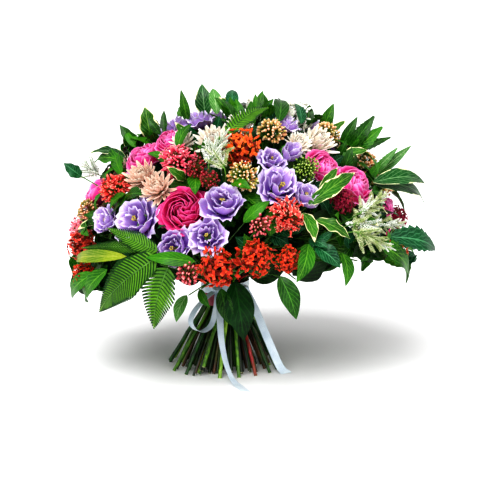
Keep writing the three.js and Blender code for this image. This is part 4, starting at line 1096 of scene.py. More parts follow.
def flat_frond(name, material, pairs):
    """A flat fern frond: a rib with close, narrow leaflets on both sides, and a midrib on each face."""
    leaflet = start_with("grid", x_subdivisions=2, y_subdivisions=5, size=2)
    p = points_of(leaflet)
    u, t = p[:, 0], (p[:, 1] + 1) / 2
    half = 0.48 / pairs * (1 - 0.3 * t ** 4)
    put_points(leaflet, np.stack([t, u * half, 0.9 * THIN * u], axis=1))
    coat(leaflet, material)
    rib = start_with("grid", x_subdivisions=2, y_subdivisions=pairs, size=2)
    q = points_of(rib)
    s = (q[:, 1] + 1) / 2
    web = np.maximum(0.015, frond_reach(s) * (0.05 + 0.5 * s ** 5))
    put_points(rib, np.stack([q[:, 0] * web, s + 0.1 * web * np.abs(q[:, 0]), 0 * s - 0.3 * THIN], axis=1))
    parts = [coat(rib, material)]
    for i in range(pairs):
        t = (i + 0.5) / pairs
        reach = float(frond_reach(t))
        ahead = 0.1 + 0.16 * t
        for sign in (-1, 1):
            made = copy_of(leaflet)
            q = points_of(made)
            slim = 1 - (0.6 - 0.5 * max(0, min(1, t / 0.25 - 3))) * q[:, 0] ** 1.4
            put_points(made, np.stack([sign * reach * q[:, 0], t + q[:, 1] * slim
                                       + ahead * reach * q[:, 0] ** 1.3, q[:, 2]], axis=1))
            if sign > 0:
                made.data.flip_normals()
            parts.append(made)
    bpy.data.objects.remove(leaflet)
    for level in (-1.3, 1.3):
        midrib = start_with("grid", x_subdivisions=1, y_subdivisions=pairs, size=2)
        q = points_of(midrib)
        s = (q[:, 1] + 1) / 2
        put_points(midrib, np.stack([q[:, 0] * (0.034 - 0.02 * s), 0.985 * s, 0 * s + level * THIN], axis=1))
        parts.append(coat(midrib, CALYX))
    frond = joined(name, parts)
    finish_with(frond, "SOLIDIFY", thickness=THIN, offset=0)
    return frond


def blade_on(pattern, root, tip, width, arch=0.12, fold=0.22, wave=0.0, curl=0.0, thick=0.5, phase=0.0,
             proud=PROUD):
    """A flat pattern laid over the head from root to tip.

    It is arched along, folded at its rib, waved at its sides and curled down at its tip, and its thickness
    and how proud it lies are in millimetres."""
    along = tip - root
    length = along.length
    along = along.normalized()
    out = (root - HEART).normalized()
    upright = along.dot(out)
    if upright > 0.7:  # a blade that stands nearly straight out of the head faces the front instead
        out = out.lerp(Vector((0, -1, 0.2)), min(1, (upright - 0.7) * 4))
    wide = along.cross(out).normalized()
    face = wide.cross(along)
    made = copy_of(pattern)
    p = points_of(made)
    x, t, z = p[:, 0], p[:, 1], p[:, 2]
    half = width / 2
    rise = arch * length * np.sin(np.pi * np.clip(t, 0, 1)) - curl * length * np.clip(t - 0.55, 0, 1) ** 2
    lift = rise + half * np.abs(x) * fold + half * wave * np.sin(t * 15 + phase + 2 * x) * np.abs(x)
    lift = lift + z / THIN * thick + proud * min(1, 2 * (1 - abs(upright)))
    base = np.array(root)
    spot = (base + np.outer(t * length, np.array(along)) + np.outer(-x * half, np.array(wide))
            + np.outer(lift, np.array(face)))
    put_points(made, spot * MM + np.array(AXIS))
    return made


# The stage: camera, floor and light

def set_stage():
    """The camera of the photograph, a pale floor, a broad key light, a soft fill and a white surround."""
    eye = Vector((0, -math.cos(EYE), math.sin(EYE))) * DISTANCE
    aim = AIM * MM + AXIS
    lens = bpy.data.cameras.new("camera")
    lens.sensor_width = SENSOR
    lens.lens = SENSOR * DISTANCE / (MM_PER_PIXEL * PHOTO_SIDE * MM)
    camera = bpy.data.objects.new("camera", lens)
    camera.location = aim + eye
    camera.rotation_euler = (math.pi / 2 - EYE, 0, 0)
    bpy.context.scene.collection.objects.link(camera)
    bpy.context.scene.camera = camera

    floor = start_with("plane", size=40)
    floor.name = "floor"
    paper = bpy.data.materials.new("paper")
    paper.use_nodes = True
    shader = paper.node_tree.nodes["Principled BSDF"]
    shader.inputs["Base Color"].default_value = (0.92, 0.92, 0.92, 1)
    shader.inputs["Roughness"].default_value = 0.9
    coat(floor, paper)

    soft = bpy.data.lights.new("fill", "AREA")
    soft.shape = "DISK"
    soft.size = 1.6
    soft.energy = 8
    fill = bpy.data.objects.new("fill", soft)
    fill.location = (1.9, -1.5, 1.2)
    fill.rotation_euler = (aim - fill.location).to_track_quat("-Z", "Y").to_euler()
    bpy.context.scene.collection.objects.link(fill)
    sun = bpy.data.lights.new("key", "SUN")
    sun.energy = 2.7
    sun.angle = math.radians(44)
    key = bpy.data.objects.new("key", sun)
    key.rotation_euler = Vector((-0.3, -0.78, 0.98)).to_track_quat("Z", "Y").to_euler()
    bpy.context.scene.collection.objects.link(key)
    world = bpy.data.worlds.new("studio")
    world.use_nodes = True
    world.node_tree.nodes["Background"].inputs[0].default_value = (1, 1, 1, 1)
    world.node_tree.nodes["Background"].inputs[1].default_value = 0.54
    bpy.context.scene.world = world
    bpy.context.scene.view_settings.view_transform = "Standard"
    bpy.context.scene.view_settings.look = "High Contrast"


set_stage()


# The pieces

growing = plan_growth()


def set_in(piece, slot, *nodes):
    """A finished piece joins the frame in place of its nodes."""
    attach(piece, "root")
    if nodes:
        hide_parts(*nodes)


patterns = {}
BUD_UNDER = 28  # a lisianthus smaller than this is still a bud


def pattern_for(kind, look, pick, size):
    """The pattern of a bloom, made when it is first asked for."""
    if kind == "lisianthus":
        key = (kind, "bud" if size < BUD_UNDER else ("open", "cup")[pick])
    elif kind in ("rose", "bride") and not look.startswith("tubes"):
        key = (kind, look, pick)
    else:
        key = ("buds" if look.startswith("tubes") else kind, look, 0)
    if key not in patterns:
        makers = {"rose": make_rose, "lisianthus": make_lisianthus, "bride": make_bride,
                  "florets": make_florets}
        patterns[key] = makers[key[0]](*key[1:]) if key[0] in makers else make_grains(*key)
    return patterns[key]


def look_of(g, i):
    """The look of one bloom or blade of what grows on a stem."""
    return g["look"] if isinstance(g["look"], str) else g["look"][i]


# How deep the waves through a bloom are, for its half-width
RUMPLED = {"rose": 0.045, "lisianthus": 0.085, "bride": 0.06, "florets": 0.06, "buds": 0.06,
           "berries": 0.07}
FOOT_DEPTH = 0.56  # how deep a bloom's foot lies under its front, for its size
# A bloom of the edge that leans out between its neighbours, by this much, and opens wider
LEANING = {"rose_far_left": (-8, -5, 4)}
LEANING_WIDER = 1.16
# Radii of the stalks where they start
STALK_RADIUS = {"bloom": 1.5, "frond": 1.2, "leaf": 1.1, "plume": 1.0, "greens": 0.9}
FORWARD = {"bride": 0.7, "rose": 0.25, "lisianthus": 0.15}  # how far the blooms of the front turn forward
SWAY = 0.12  # how far a bloom may lean any way


def make_spray(g, index):
    """The blooms of a spray with their stalks from the fork."""
    draw = random.Random(index)
    parts, runs = [], []
    for i, b in enumerate(g["blooms"]):
        along = (b["spot"] - HEART).normalized()
        foot = b["spot"] - along * FOOT_DEPTH * b["size"]
        look = look_of(g, i)
        reach = b["size"] / 2 * OPEN["tubes" if look.startswith("tubes") else g["kind"]]
        if g["name"] in LEANING:
            foot = foot + Vector(LEANING[g["name"]])
            reach *= LEANING_WIDER
        pattern = pattern_for(g["kind"], look, (i + index) % 2, b["size"])
        forward = FORWARD.get(g["kind"], 0) if b["spot"].y < 0 else 0
        lean = (along + Vector((0, -forward, forward * 0.3))
                + Vector([draw.uniform(-SWAY, SWAY) for _ in range(3)])).normalized()
        bloom = copy_of(pattern)
        rumple(bloom, RUMPLED[g["kind"]], draw)
        bloom.data.transform(stand(at(foot), lean, draw.uniform(0, 6), reach * MM))
        parts.append(bloom)
        bow = g["fork"].lerp(foot, 0.55) + along * 2
        runs.append((through([at(g["fork"]), at(bow), at(foot + along)], 4),
                     [STALK_RADIUS["bloom"] * MM * (1 - 0.03 * k) for k in range(9)]))
    parts.append(tubes("stalks", runs, STALK, 1))
    set_in(joined(f"{g['name']}_bloom", parts), g["kind"], g["name"])


leaf_patterns = {}
SUNK = 9  # how far a leaf's base sits in among the blooms
WAVES = {"plain": 0.05, "waved": 0.2, "cut": 0.08}  # how deep the sides of a leaf are waved
BROAD = 1.08  # how much wider than its solid a leaf is, but for the slim ones
SLIM = {"leaves_variegated": 0.86, "leaves_lobed_right": 0.84}
SHORT = {("leaves_left_top", 4): 0.45}  # blades of which only the outer part is leaf, the rest stalk


def leaf_pattern(edge, look, cells):
    """The pattern of a leaf, made when it is first asked for."""
    if (edge, look, cells) not in leaf_patterns:
        name = f"pattern_{edge}_{look}_{cells[1]}"
        leaf_patterns[edge, look, cells] = flat_leaf(name, LEAF_LOOKS[look], edge, cells)
    return leaf_patterns[edge, look, cells]


def make_leafy(g, index):
    """The leaves of a leafy stem with their stalks from the fork."""
    draw = random.Random(100 + index)
    parts, runs = [], []
    for i, blade in enumerate(g["blades"]):
        root, tip, width = as_built(g["name"], blade)
        sunk = root + (g["fork"] - root).normalized() * SUNK
        if g["name"] == "leaves_over_tie":
            sunk = root
        if (g["name"], i) in SHORT:
            sunk = root.lerp(tip, SHORT[g["name"], i])
        width *= SLIM.get(g["name"], BROAD)
        pattern = leaf_pattern(g["edge"], look_of(g, i), FINE)
        parts.append(blade_on(pattern, sunk, tip, width, wave=WAVES[g["edge"]], curl=draw.uniform(0.0, 0.2),
                              phase=draw.uniform(0, 6)))
        bow = g["fork"].lerp(sunk, 0.6)
        runs.append((through([at(g["fork"]), at(bow), at(sunk)], 4),
                     [STALK_RADIUS["leaf"] * MM * (1 - 0.04 * k) for k in range(9)]))
    parts.append(tubes("leaf_stalks", runs, STALK, 1))
    set_in(joined(f"{g['name']}_blades", parts), "leaves", g["name"])


frond_patterns = {}
LIES_FLAT = "fern_left"  # the fronds that lie flat and low on the blooms
FLAT_TIP = Vector((0, 0, 8))  # how much lower their tips are
FLAT_WIDTH = 0.85  # and how much narrower they are than their solids


def frond_pattern(look, length):
    """The pattern of a frond with leaflets to suit its length, made when it is first asked for."""
    pairs = max(LEAFLETS["fewest"], min(LEAFLETS["most"], round(length / LEAFLETS["apart"])))
    if (look, pairs) not in frond_patterns:
        frond_patterns[look, pairs] = flat_frond(f"pattern_frond_{look}_{pairs}", FERNS[look], pairs)
    return frond_patterns[look, pairs]


def make_fern(g):
    """The fronds of a stem with their stalks from the fork."""
    flat = g["name"] == LIES_FLAT
    look = "deep" if g["name"].startswith("back") else "fresh"
    parts, runs = [], []
    for blade in g["blades"]:
        root, tip, width = as_built(g["name"], blade)
        if flat:
            tip = blade["tip"] - FLAT_TIP
            width *= FLAT_WIDTH
        parts.append(blade_on(frond_pattern(look, (tip - root).length), root, tip, width,
                              arch=0.02 if flat else 0.1, fold=0.1, thick=0.4, proud=0 if flat else PROUD))
        runs.append((through([at(g["fork"]), at(g["fork"].lerp(root, 0.6)), at(root)], 4),
                     [STALK_RADIUS["frond"] * MM * (1 - 0.04 * k) for k in range(9)]))
    parts.append(tubes("frond_stalks", runs, STALK, 1))
    set_in(joined(f"{g['name']}_fronds", parts), "frond", g["name"])


TUFTS = 96  # on one side branch


def make_finger(seed, material):
    """A side branch of a plume, of length 1 along +Z, covered with tiny tufts."""
    draw = random.Random(seed)
    tuft = start_with("ico_sphere", subdivisions=1, radius=1)
    put_points(tuft, points_of(tuft) * np.array([0.6, 0.6, 1.0]))
    tuft = coat(finish_with(tuft, "DECIMATE", ratio=0.5), material)
    parts = []
    for i in range(TUFTS):
        t = (i + 0.5) / TUFTS
        turn = i * SIDE_TURN
        out = Vector((math.cos(turn), math.sin(turn), 0.4 + 0.5 * draw.random())).normalized()
        spot = Vector((0, 0, 0.05 + 0.93 * t)) + out * 0.1 * (1.15 - 0.8 * t) * draw.uniform(0.7, 1.3)
        parts.append(copy_of(tuft, stand(spot, out, 0, draw.uniform(0.03, 0.048) * (1.15 - 0.4 * t))))
    bpy.data.objects.remove(tuft)
    parts.append(tubes("finger_stalk", [([Vector(), Vector((0, 0, 0.95))], [0.03, 0.015])], CALYX, 0))
    return joined(f"pattern_finger_{seed}", parts)


fingers = [make_finger(seed, PLUME) for seed in range(3)]
green_fingers = [make_finger(seed, PLUME_GREEN) for seed in (3, 4)]
# How much of each plume is still green
YOUNG = {"astilbe_right": (0.45, 0.4, 0.9), "astilbe_centre": (0.15, 0.15)}


def make_plume(g, index):
    """Feathery plumes: a main stalk with side branches that grow shorter towards its tip."""
    draw = random.Random(300 + index)
    parts, runs = [], []
    for blade, young in zip(g["blades"], YOUNG.get(g["name"], (0,))):
        foot, tip, width = as_built(g["name"], blade)
        axis = tip - foot
        length = axis.length
        axis = axis.normalized()
        side, other = square_to(axis)
        runs.append((through([at(g["fork"]), at(g["fork"].lerp(foot, 0.6)), at(foot),
                              at(foot + axis * length * 0.8)], 4),
                     [STALK_RADIUS["plume"] * MM * (1 - 0.05 * k) for k in range(13)]))
        branches = round(12 + length / 5)
        for k in range(branches):
            t = (k + 0.3) / branches
            turn = k * SIDE_TURN
            spread = 1.0 - 0.55 * t
            way = (axis + (side * math.cos(turn) + other * math.sin(turn)) * spread).normalized()
            reach = min(width * (1.25 - 0.72 * t) * draw.uniform(0.85, 1.12), length * (1.02 - 0.76 * t))
            start = foot + axis * length * 0.76 * t
            green = draw.random() < young * (1.6 - 1.2 * t)
            finger = draw.choice(green_fingers) if green else fingers[k % 3]
            parts.append(copy_of(finger, stand(at(start), way, draw.uniform(0, 6), reach * MM)))
    stalks = tubes("plume_stalks", runs, CALYX, 0)
    set_in(joined(f"{g['name']}_plumes", [stalks, *parts]), "plume", g["name"])


for index, g in enumerate(growing):
    if g["type"] == "spray":
        make_spray(g, index)
    elif g["type"] == "leaves":
        make_leafy(g, index)
    elif g["type"] == "frond":
        make_fern(g)
    else:
        make_plume(g, index)


# Leaves under, between and behind the blooms, which close the head

# Looks of the leaves deep in the head: darker ones, partly as painted shade, and the inner look wholly
# painted shade
DEEP_LOOKS = [("plain", "dark"), ("cut", "mid"), ("plain", "dark"), ("plain", "inner"), ("waved", "deep"),
              ("plain", "mid")]
RIM_LOOKS = [("plain", "mid"), ("cut", "mid"), ("waved", "deep"), ("plain", "dark"), ("waved", "variegated"),
             ("plain", "lime")]
# Spots of the front that need leaves behind them, of its upper edge and of its left shoulder, as (across, up)
BEHIND = [(162, 269), (188, 244), (75, 260), (-35, 235), (170, 285), (-150, 250), (30, 215), (205, 225),
          (165, 160), (165, 150), (178, 152), (140, 192), (152, 158), (29, 124), (60, 168)]
CREST = [(-100, 292), (-84, 306), (-60, 318), (-44, 322), (4, 326), (26, 328), (44, 326), (62, 322),
         (86, 316), (122, 308), (140, 300), (-116, 276)]
SHOULDER = [(-159, 256), (-163, 250), (-126, 224), (-108, 289), (-172, 243), (-168, 188), (-136, 196),
            (-142, 262)]
SCATTER = 10  # how far from its spot a leaf may be placed
SIGHT = Vector((0, math.cos(EYE), -math.sin(EYE)))  # the way that the camera looks
SHORTEST = 22  # a leaf that would be shorter is left out
# Beds of leaves. A root lies at a turn and a rise, deep in the head, where 1 is its surface, or else behind a
# spot. Out is how much a leaf points out of the head, and reach is how far past its surface a tip may come.
# Clear is how far from a bloom's axis a leaf stays, for the bloom's size.
GREENS = [
    {"name": "greens_between", "pieces": 5, "leaves": 50, "turn": (0, 360), "rise": (-14, 88),
     "deep": (0.68, 0.9), "length": (34, 58), "width": (16, 26), "out": (0.4, 1.1), "reach": 0.985,
     "clear": 0.46, "looks": DEEP_LOOKS},
    {"name": "greens_under", "pieces": 3, "leaves": 42, "turn": (0, 360), "rise": (-34, 4),
     "deep": (0.5, 0.92), "length": (38, 62), "width": (20, 32), "out": (0.1, 0.7), "reach": 0.99,
     "clear": 0.46, "looks": DEEP_LOOKS},
    {"name": "greens_front", "pieces": 1, "leaves": 50, "turn": (-80, 80), "rise": (-34, -2),
     "deep": (0.74, 0.95), "length": (34, 54), "width": (17, 27), "out": (0.1, 0.6), "reach": 0.99,
     "clear": 0.54, "looks": DEEP_LOOKS},
    # The core's leaves all take the near-black inner look, a painted shade deep in the head
    {"name": "greens_core", "pieces": 2, "leaves": 56, "turn": (0, 360), "rise": (-30, 88),
     "deep": (0.42, 0.6), "length": (44, 66), "width": (30, 42), "out": (0.0, 0.5), "reach": 0.85,
     "clear": 0.46, "looks": [("plain", "inner")]},
    {"name": "greens_rim", "pieces": 1, "leaves": 44, "turn": (0, 360), "rise": (-6, 70),
     "deep": (0.86, 0.95), "length": (30, 46), "width": (13, 21), "out": (0.9, 1.8), "reach": 1.07,
     "clear": 0.58, "looks": RIM_LOOKS},
    {"name": "greens_crown", "pieces": 1, "leaves": 48, "turn": (0, 360), "rise": (42, 89),
     "deep": (0.86, 0.96), "length": (26, 42), "width": (11, 18), "out": (1.1, 2.6), "reach": 1.13,
     "clear": 0.54, "looks": RIM_LOOKS},
    {"name": "greens_behind", "pieces": 1, "leaves": 44, "places": BEHIND, "behind": (16, 46),
     "length": (30, 44), "width": (20, 28), "out": (-0.1, 0.3), "reach": 0.97, "clear": 0.4,
     "looks": DEEP_LOOKS},
    {"name": "greens_crest", "pieces": 1, "leaves": 20, "places": CREST, "behind": (6, 24),
     "length": (22, 32), "width": (9, 14), "out": (0.9, 2.2), "reach": 1.13, "clear": 0.5,
     "looks": RIM_LOOKS},
    {"name": "greens_shoulder", "pieces": 1, "leaves": 26, "places": SHOULDER, "behind": (4, 30),
     "length": (24, 38), "width": (14, 22), "out": (-0.1, 0.4), "reach": 1.0, "clear": 0.4,
     "looks": DEEP_LOOKS},
]
# How low the head is seen to come at the front, as (across, up)
LOWEST = [(-230, 96), (-190, 98), (-150, 99), (-128, 102), (-112, 112), (-84, 120), (-62, 108), (-45, 98),
          (-20, 112), (30, 114), (60, 118), (90, 112), (120, 116), (150, 134), (200, 136), (226, 124),
          (260, 124)]


def hangs_low(point):
    """Whether the point is seen under the head's lower edge."""
    up = point.z * math.cos(EYE) + point.y * math.sin(EYE)
    return up < np.interp(point.x, [x for x, _ in LOWEST], [low for _, low in LOWEST])


BLOOMS = [b for g in growing if g["type"] == "spray" for b in g["blooms"]]
WHOLE_NAMES = ("fern_low_left", "fern_low_mid", "fern_left", "leaves_low_left", "leaves_over_tie")
SEEN_WHOLE = [blade for g in growing if g["name"] in WHOLE_NAMES for blade in g["blades"]]


def in_bloom(point, clear):
    """Whether the point is in or over the open part of a bloom."""
    for b in BLOOMS:
        along = (b["spot"] - HEART).normalized()
        past = (point - b["spot"]).dot(along)
        beside = (point - b["spot"] - along * past).length
        if past > -0.5 * b["size"] and beside < clear * b["size"]:
            return True
    return False


IN_FRONT = 4  # how far behind a blade a leaf has to be, so as not to hide it
HALF_SEEN = 0.55  # how far from a blade's line it would hide it, for the blade's width


def hides_blade(point):
    """Whether a leaf here would be seen in front of a frond or leaf that is seen whole."""
    for blade in SEEN_WHOLE:
        run = blade["tip"] - blade["foot"]
        along = max(0, min(1, (point - blade["foot"]).dot(run) / run.length_squared))
        apart = point - blade["foot"] - run * along
        beside = math.hypot(apart.x, apart.z * math.cos(EYE) + apart.y * math.sin(EYE))
        if apart.y < IN_FRONT and beside < HALF_SEEN * blade["width"]:
            return True
    return False


TESTED = (0, 0.35, 0.7, 1)  # the steps along a leaf at which it is tested
STALK_START = Vector((0, 0, 22))  # how far over the line from the heart a stalk starts
STALK_BOW = Vector((0, 0, 5))


def place_in(bed, draw):
    """A leaf's spot on the head's surface and its root under it."""
    if "places" in bed:
        across, up = draw.choice(bed["places"])
        spot = seen_at(across + draw.uniform(-SCATTER, SCATTER), up + draw.uniform(-SCATTER, SCATTER))
        return spot, spot + SIGHT * draw.uniform(*bed["behind"])
    low, high = (math.sin(math.radians(r)) for r in bed["rise"])
    rise = math.degrees(math.asin(draw.uniform(low, high)))
    spot = facing(draw.uniform(*bed["turn"]), rise)
    return spot, HEART.lerp(spot, draw.uniform(*bed["deep"]))


def make_greens(bed, seed):
    """A bed of leaves that keep clear of the open blooms and of the blades that are seen whole."""
    draw = random.Random(seed)
    for k in range(bed["pieces"]):
        parts, runs = [], []
        while len(parts) < bed["leaves"]:
            spot, root = place_in(bed, draw)
            out = (spot - HEART).normalized()
            side, other = square_to(out)
            a = draw.uniform(0, 2 * math.pi)
            way = (out * draw.uniform(*bed["out"]) + side * math.cos(a) + other * math.sin(a)).normalized()
            tip = root + way * draw.uniform(*bed["length"])
            past = (tip - HEART).length / (settle_on(tip) - HEART).length
            if past > bed["reach"]:
                tip = HEART + (tip - HEART) * bed["reach"] / past
            if hangs_low(root) or hangs_low(tip) or (tip - root).length < SHORTEST:
                continue
            wide = (tip - root).cross(spot - HEART).normalized() * bed["width"][0] / 2
            spots = [root.lerp(tip, step) for step in TESTED]
            spots += [spots[1] + wide, spots[1] - wide, spots[2] + wide, spots[2] - wide]
            if any(in_bloom(p, bed["clear"]) or hides_blade(p) for p in spots):
                continue
            edge, look = bed["looks"][(k + len(parts)) % len(bed["looks"])]
            parts.append(blade_on(leaf_pattern(edge, look, COARSE), root, tip, draw.uniform(*bed["width"]),
                                  arch=draw.uniform(0.02, 0.16), wave=0.1, curl=draw.uniform(0, 0.3),
                                  phase=draw.uniform(0, 6)))
            start = HEART.lerp(root, 0.5) + STALK_START
            runs.append((through([at(start), at(start.lerp(root, 0.5) + STALK_BOW), at(root)], 2),
                         [STALK_RADIUS["greens"] * MM] * 5))
        parts.append(tubes("greens_stalks", runs, STALK, 0))
        set_in(joined(f"{bed['name']}_{k + 1}", parts), "leaves")


for seed, bed in enumerate(GREENS):
    make_greens(bed, 11 + seed)


# Stems

def stem_finish(name, light, dark):
    """Skin of a cut stem with long fibres, and pale pith where it is cut."""
    made = bpy.data.materials.new(name)
    made.use_nodes = True
    n = Nodes(made.node_tree)
    shader = made.node_tree.nodes["Principled BSDF"]
    place = n.add("ShaderNodeTexCoord")
    stretch = n.add("ShaderNodeMapping", Vector=place.outputs["Object"])
    stretch.inputs["Scale"].default_value = (260, 260, 24)
    fibre = n.noise(stretch.outputs[0], 1.0, 4.0, 0.6)
    patch = n.noise(place.outputs["Object"], 34.0, 2.0)
    colour = n.mix(n.ramp(fibre, 0.35, 0.7), rgb(dark), rgb(light))
    colour = n.mix(n.maths("MULTIPLY", n.ramp(patch, 0.5, 0.72), 0.6), colour, rgb("3a5a1e"))
    height = n.add("ShaderNodeSeparateXYZ", Vector=place.outputs["Object"]).outputs[2]
    normal = n.add("ShaderNodeNewGeometry").outputs["Normal"]
    down = n.maths("MULTIPLY", n.add("ShaderNodeSeparateXYZ", Vector=normal).outputs[2], -1.0)
    cut = n.maths("MULTIPLY", n.ramp(down, 0.7, 0.9), n.ramp(height, 0.02, 0.016))
    colour = n.mix(cut, colour, rgb("d9dfae"))
    n.set(shader, "Base Color", colour)
    relief = n.add("ShaderNodeBump", Strength=0.5, Distance=0.0005, Height=fibre)
    n.set(shader, "Normal", relief.outputs[0])
    shader.inputs["Roughness"].default_value = 0.42
    shader.inputs["Coat Weight"].default_value = 0.1
    return made


STEM_LOOKS = {
    "green": stem_finish("stem_green", "6ea41e", "2f5c10"),
    "deep": stem_finish("stem_deep", "1f5c10", "0c2c08"),
    "brown": stem_finish("stem_brown", "6c4420", "2c1c0c"),
    "lime": stem_finish("stem_lime", "a4cc48", "5c8c22"),
    "red": stem_finish("stem_red", "c4282c", "701414"),
    # Near-black stems: painted shade between the stems of the bundle
    "shade": stem_finish("stem_shade", "12300c", "060f04"),
}
RED_FOOT = Vector((48, -58, 0))  # the stem with its foot nearest to this is red
STEM_RADIUS = 2.4
KNOT = 1.14  # how much a stem swells at a knot
FILLERS = 110  # slimmer stems inside the bundle


def make_stems():
    """Every stem from its cut end through the tie to its fork, with some slimmer ones between."""
    jitter = drawer(77)
    draw = random.Random(5)
    low, high = NECK["z"] - NECK["height"] / 2, NECK["z"] + NECK["height"] / 2
    spread = FOOT["radius"] / NECK["rings"][-1]
    twist = -math.radians(FOOT["twist"])
    runs = {look: [] for look in STEM_LOOKS}
    feet = [neck_point(g["neck"], 0, spread, twist) for g in growing]
    red = min(range(len(feet)), key=lambda k: (feet[k] - RED_FOOT).length)
    for i, g in enumerate(growing):
        outer = g["neck"][0] == NECK["rings"][-1]
        raised = jitter(8, 14) if outer and i % 6 == 5 else 0
        foot = neck_point(g["neck"], raised, spread, twist)
        foot.x += jitter(-FOOT["jitter"], FOOT["jitter"])
        foot.y += jitter(-FOOT["jitter"], FOOT["jitter"])
        radius = STEM_RADIUS * jitter(0.82, 1.06)
        jitter(0, 1)  # the part's source turns the solid stem about itself by this draw
        knee = neck_point(g["neck"], low, 1, 0)
        over = top_of(g)
        points = through([foot, foot.lerp(knee, 0.5) + Vector((0, 0, 1)), knee, over,
                          over.lerp(g["fork"], 0.5) + Vector((0, 0, 2)), g["fork"]], 3)
        thick = [radius * (1 - 0.35 * k / (len(points) - 1)) for k in range(len(points))]
        for knot in (2 + i % 3, 5 + i % 2):
            thick[knot] *= KNOT
        look = "red" if i == red else draw.choice(["green", "deep", "lime", "green", "lime", "brown"])
        runs[look].append(([at(p) for p in points], [t * MM for t in thick]))
    for _ in range(FILLERS):
        radius, turn = draw.uniform(3, 27), draw.uniform(0, 2 * math.pi)
        start = neck_point((radius, turn), draw.uniform(0, 10) if radius > 20 else 0.2, spread,
                           -math.radians(FOOT["twist"] + draw.uniform(-5, 5)))
        knee = neck_point((radius, turn), low, 1, 0)
        over = neck_point((radius, turn), high, 0.95, 0)
        points = through([start, start.lerp(knee, 0.5), knee, over], 4)
        size = draw.uniform(1.3, 2.2)
        # Most fillers are near-black, a painted shade in the gaps of the bundle
        runs[draw.choice(["shade", "brown", "shade", "deep"])].append(
            ([at(p) for p in points], [size * MM] * len(points)))
    made = [tubes(f"stems_{look}", rows, STEM_LOOKS[look], 2) for look, rows in runs.items() if rows]
    stems = joined("stems_cut", made)
    p = points_of(stems)
    p[:, 2] = np.maximum(p[:, 2], 0)
    put_points(stems, p)
    set_in(stems, "stems", "stems")


make_stems()


# The tie: a crimson binding, and a pale satin ribbon with a loop and two tails

def weave_finish(name, light, dark, across, rough, sheen, shine):
    """A woven tape with fine threads along it and a darker edge."""
    made = bpy.data.materials.new(name)
    made.use_nodes = True
    n = Nodes(made.node_tree)
    shader = made.node_tree.nodes["Principled BSDF"]
    place = n.add("ShaderNodeTexCoord")
    split = n.add("ShaderNodeSeparateXYZ", Vector=place.outputs["UV"])
    fine = n.add("ShaderNodeCombineXYZ", X=n.maths("MULTIPLY", split.outputs[0], across),
                 Y=n.maths("MULTIPLY", split.outputs[1], 900.0))
    thread = n.noise(fine.outputs[0], 1.0, 2.0)
    patch = n.noise(place.outputs["Object"], 45.0, 2.0)
    colour = n.mix(n.ramp(n.maths("ADD", n.maths("MULTIPLY", thread, 0.5), n.maths("MULTIPLY", patch, 0.5)),
                          0.35, 0.65), rgb(dark), rgb(light))
    edge = n.maths("ABSOLUTE", n.maths("SUBTRACT", n.maths("MULTIPLY", split.outputs[0], 2.0), 1.0))
    colour = n.mix(n.maths("MULTIPLY", n.ramp(edge, 0.86, 0.94), 0.35), colour, rgb(dark))
    n.set(shader, "Base Color", colour)
    relief = n.add("ShaderNodeBump", Strength=0.3, Distance=0.0003, Height=thread)
    n.set(shader, "Normal", relief.outputs[0])
    shader.inputs["Roughness"].default_value = rough
    shader.inputs["Sheen Weight"].default_value = sheen
    shader.inputs["Coat Weight"].default_value = shine
    return made


SATIN = weave_finish("ribbon_satin", "e8f2f8", "b4c6d6", 60.0, 0.32, 0.3, 0.1)
BINDING = weave_finish("binding", "a81840", "6c0c26", 12.0, 0.45, 0.2, 0.1)

CUT_SLANT = 3.5  # how far the cut end of a tail slants to each side
# The routes of the ribbon's lengths
LOOP = [(-10, -33, 108), (-24, -42, 99), (-38, -47, 84), (-44, -51, 70), (-38, -54, 60), (-27, -54, 58),
        (-17, -51, 66), (-12, -46, 84), (-9, -35, 104)]
FRONT_TAIL = [(-9, -33, 105), (-7, -46, 92), (-6, -60, 72), (-4, -72, 48), (2, -86, 22), (11, -101, 5),
              (20, -118, 0.8), (26, -136, 0.6)]
RIGHT_TAIL = [(26, -23.5, 108), (31, -27, 99), (40, -33, 80), (51, -39, 54), (62, -43, 28),
              (72, -47, 7), (80, -51, 0.7)]


def hang(name, route, wide_ways, cut):
    """One length of ribbon along its route.

    It turns as its ways across go, and its end may be cut aslant."""
    width = RIBBON["width"]
    points = through([Vector(p) for p in route], 5)
    strip = start_with("grid", x_subdivisions=4, y_subdivisions=len(points) - 1, size=2)
    p = points_of(strip)
    u = p[:, 0]
    step = np.round((p[:, 1] + 1) / 2 * (len(points) - 1)).astype(int)
    placed = np.zeros_like(p)
    for k, point in enumerate(points):
        ahead = points[min(k + 1, len(points) - 1)] - points[max(k - 1, 0)]
        ahead = ahead.normalized()
        turned = k / (len(points) - 1) * (len(wide_ways) - 1)
        before = min(int(turned), len(wide_ways) - 2)
        wide = Vector(wide_ways[before]).lerp(Vector(wide_ways[before + 1]), turned - before)
        wide = (wide - ahead * wide.dot(ahead)).normalized()
        face = wide.cross(ahead).normalized()
        rows = np.where(step == k)[0]
        for r in rows:
            cup = 0.5 * (1 - u[r] ** 2) * math.sin(k * 0.55)
            end = cut * u[r] * CUT_SLANT if k == len(points) - 1 else 0
            placed[r] = point + wide * u[r] * width / 2 + face * cup + ahead * end
    placed[:, 2] = np.maximum(placed[:, 2], RIBBON["thick"] / 2 + 0.05)
    put_points(strip, placed * MM + np.array(AXIS))
    coat(strip, SATIN)
    finish_with(strip, "SOLIDIFY", thickness=RIBBON["thick"] * MM, offset=0)
    strip.name = name
    smooth(strip, 40)
    set_in(strip, "ribbon")


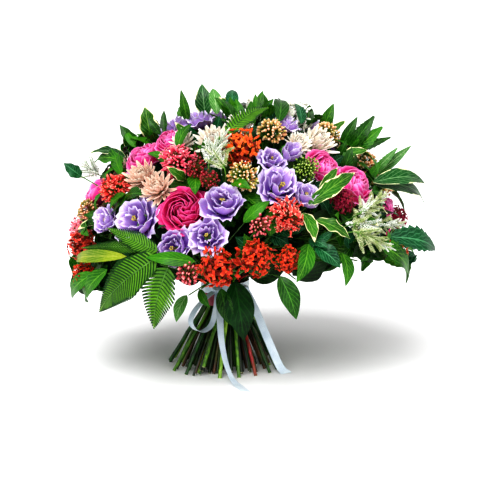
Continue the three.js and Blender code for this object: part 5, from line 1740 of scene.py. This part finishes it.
def ring_wrap(name, material, radius, low, high, turns, thick):
    """Turns of tape wound round the stems, each a little over the last."""
    parts = []
    step = (high - low) / turns
    for k in range(turns):
        middle = low + step * (k + 0.5)
        profile = start_with("cylinder", vertices=72, radius=radius + thick, depth=step * 1.04,
                             end_fill_type="NOTHING", location=(0, 0, middle))
        bpy.ops.object.transform_apply(location=True)
        p = points_of(profile)
        a = np.arctan2(p[:, 1], p[:, 0])
        top = p[:, 2] > middle
        wobble = 1 + 0.008 * np.sin(a * 9 + k * 2) + 0.006 * np.sin(a * 17 + k)
        p[:, :2] *= (wobble * np.where(top, 1.0, 1.012))[:, None]
        put_points(profile, p * MM + np.array(AXIS))
        coat(profile, material)
        finish_with(profile, "SOLIDIFY", thickness=thick * 0.8 * MM, offset=-1)
        parts.append(profile)
    return smooth(joined(name, parts), 35)


# The ribbon's knots as their middle, their long way and their size
KNOTS = [((-10.5, -34, 106.5), (13, -4, -5), 5.2), ((26.5, -24, 107.5), (6, 5, -3), 4.6)]
KNOT_SHAPE = Matrix.Diagonal((0.8, 0.8, 1.2, 1))


def make_tie():
    """The ribbon's wrap with its knots, its loop and tails, and the binding under it."""
    wrap = ring_wrap("ribbon_turns", SATIN, RIBBON["inner"], RIBBON["low"], RIBBON["high"], 2, 0.8)
    knots = []
    for centre, along, size in KNOTS:
        knot = start_with("uv_sphere", segments=16, ring_count=10, radius=1)
        p = points_of(knot)
        a = np.arctan2(p[:, 1], p[:, 0])
        p[:, :2] *= (1 + 0.12 * np.sin(a * 5))[:, None]
        put_points(knot, p)
        tied = stand(at(Vector(centre)), Vector(along).normalized(), 0, size * MM)
        knot.data.transform(tied @ KNOT_SHAPE)
        knots.append(coat(smooth(knot), SATIN))
    set_in(joined("ribbon_wrap", [wrap, *knots]), "ribbon", "ribbon")
    hang("ribbon_loop", LOOP, [(0.5, -0.86, 0), (0.6, -0.8, 0), (0.62, -0.78, 0), (0.62, -0.78, 0)], 0)
    hang("ribbon_front_tail", FRONT_TAIL, [(0.8, 0.6, 0), (0.74, 0.67, 0), (0.4, 0.9, 0), (0.88, 0.4, 0)], 1)
    hang("ribbon_right_tail", RIGHT_TAIL, [(0.5, 0.8, 0.1), (0.94, 0.3, 0.1), (0.96, 0.2, 0.1)], 1)
    binding = ring_wrap("binding_turns", BINDING, BAND["inner"], BAND["low"], BAND["high"], 4, 0.9)
    set_in(binding, "band", "tie_band")


make_tie()

for pattern in [*patterns.values(), *leaf_patterns.values(), *frond_patterns.values(), *fingers,
                *green_fingers]:
    bpy.data.objects.remove(pattern)

bpy.ops.object.select_all(action="DESELECT")
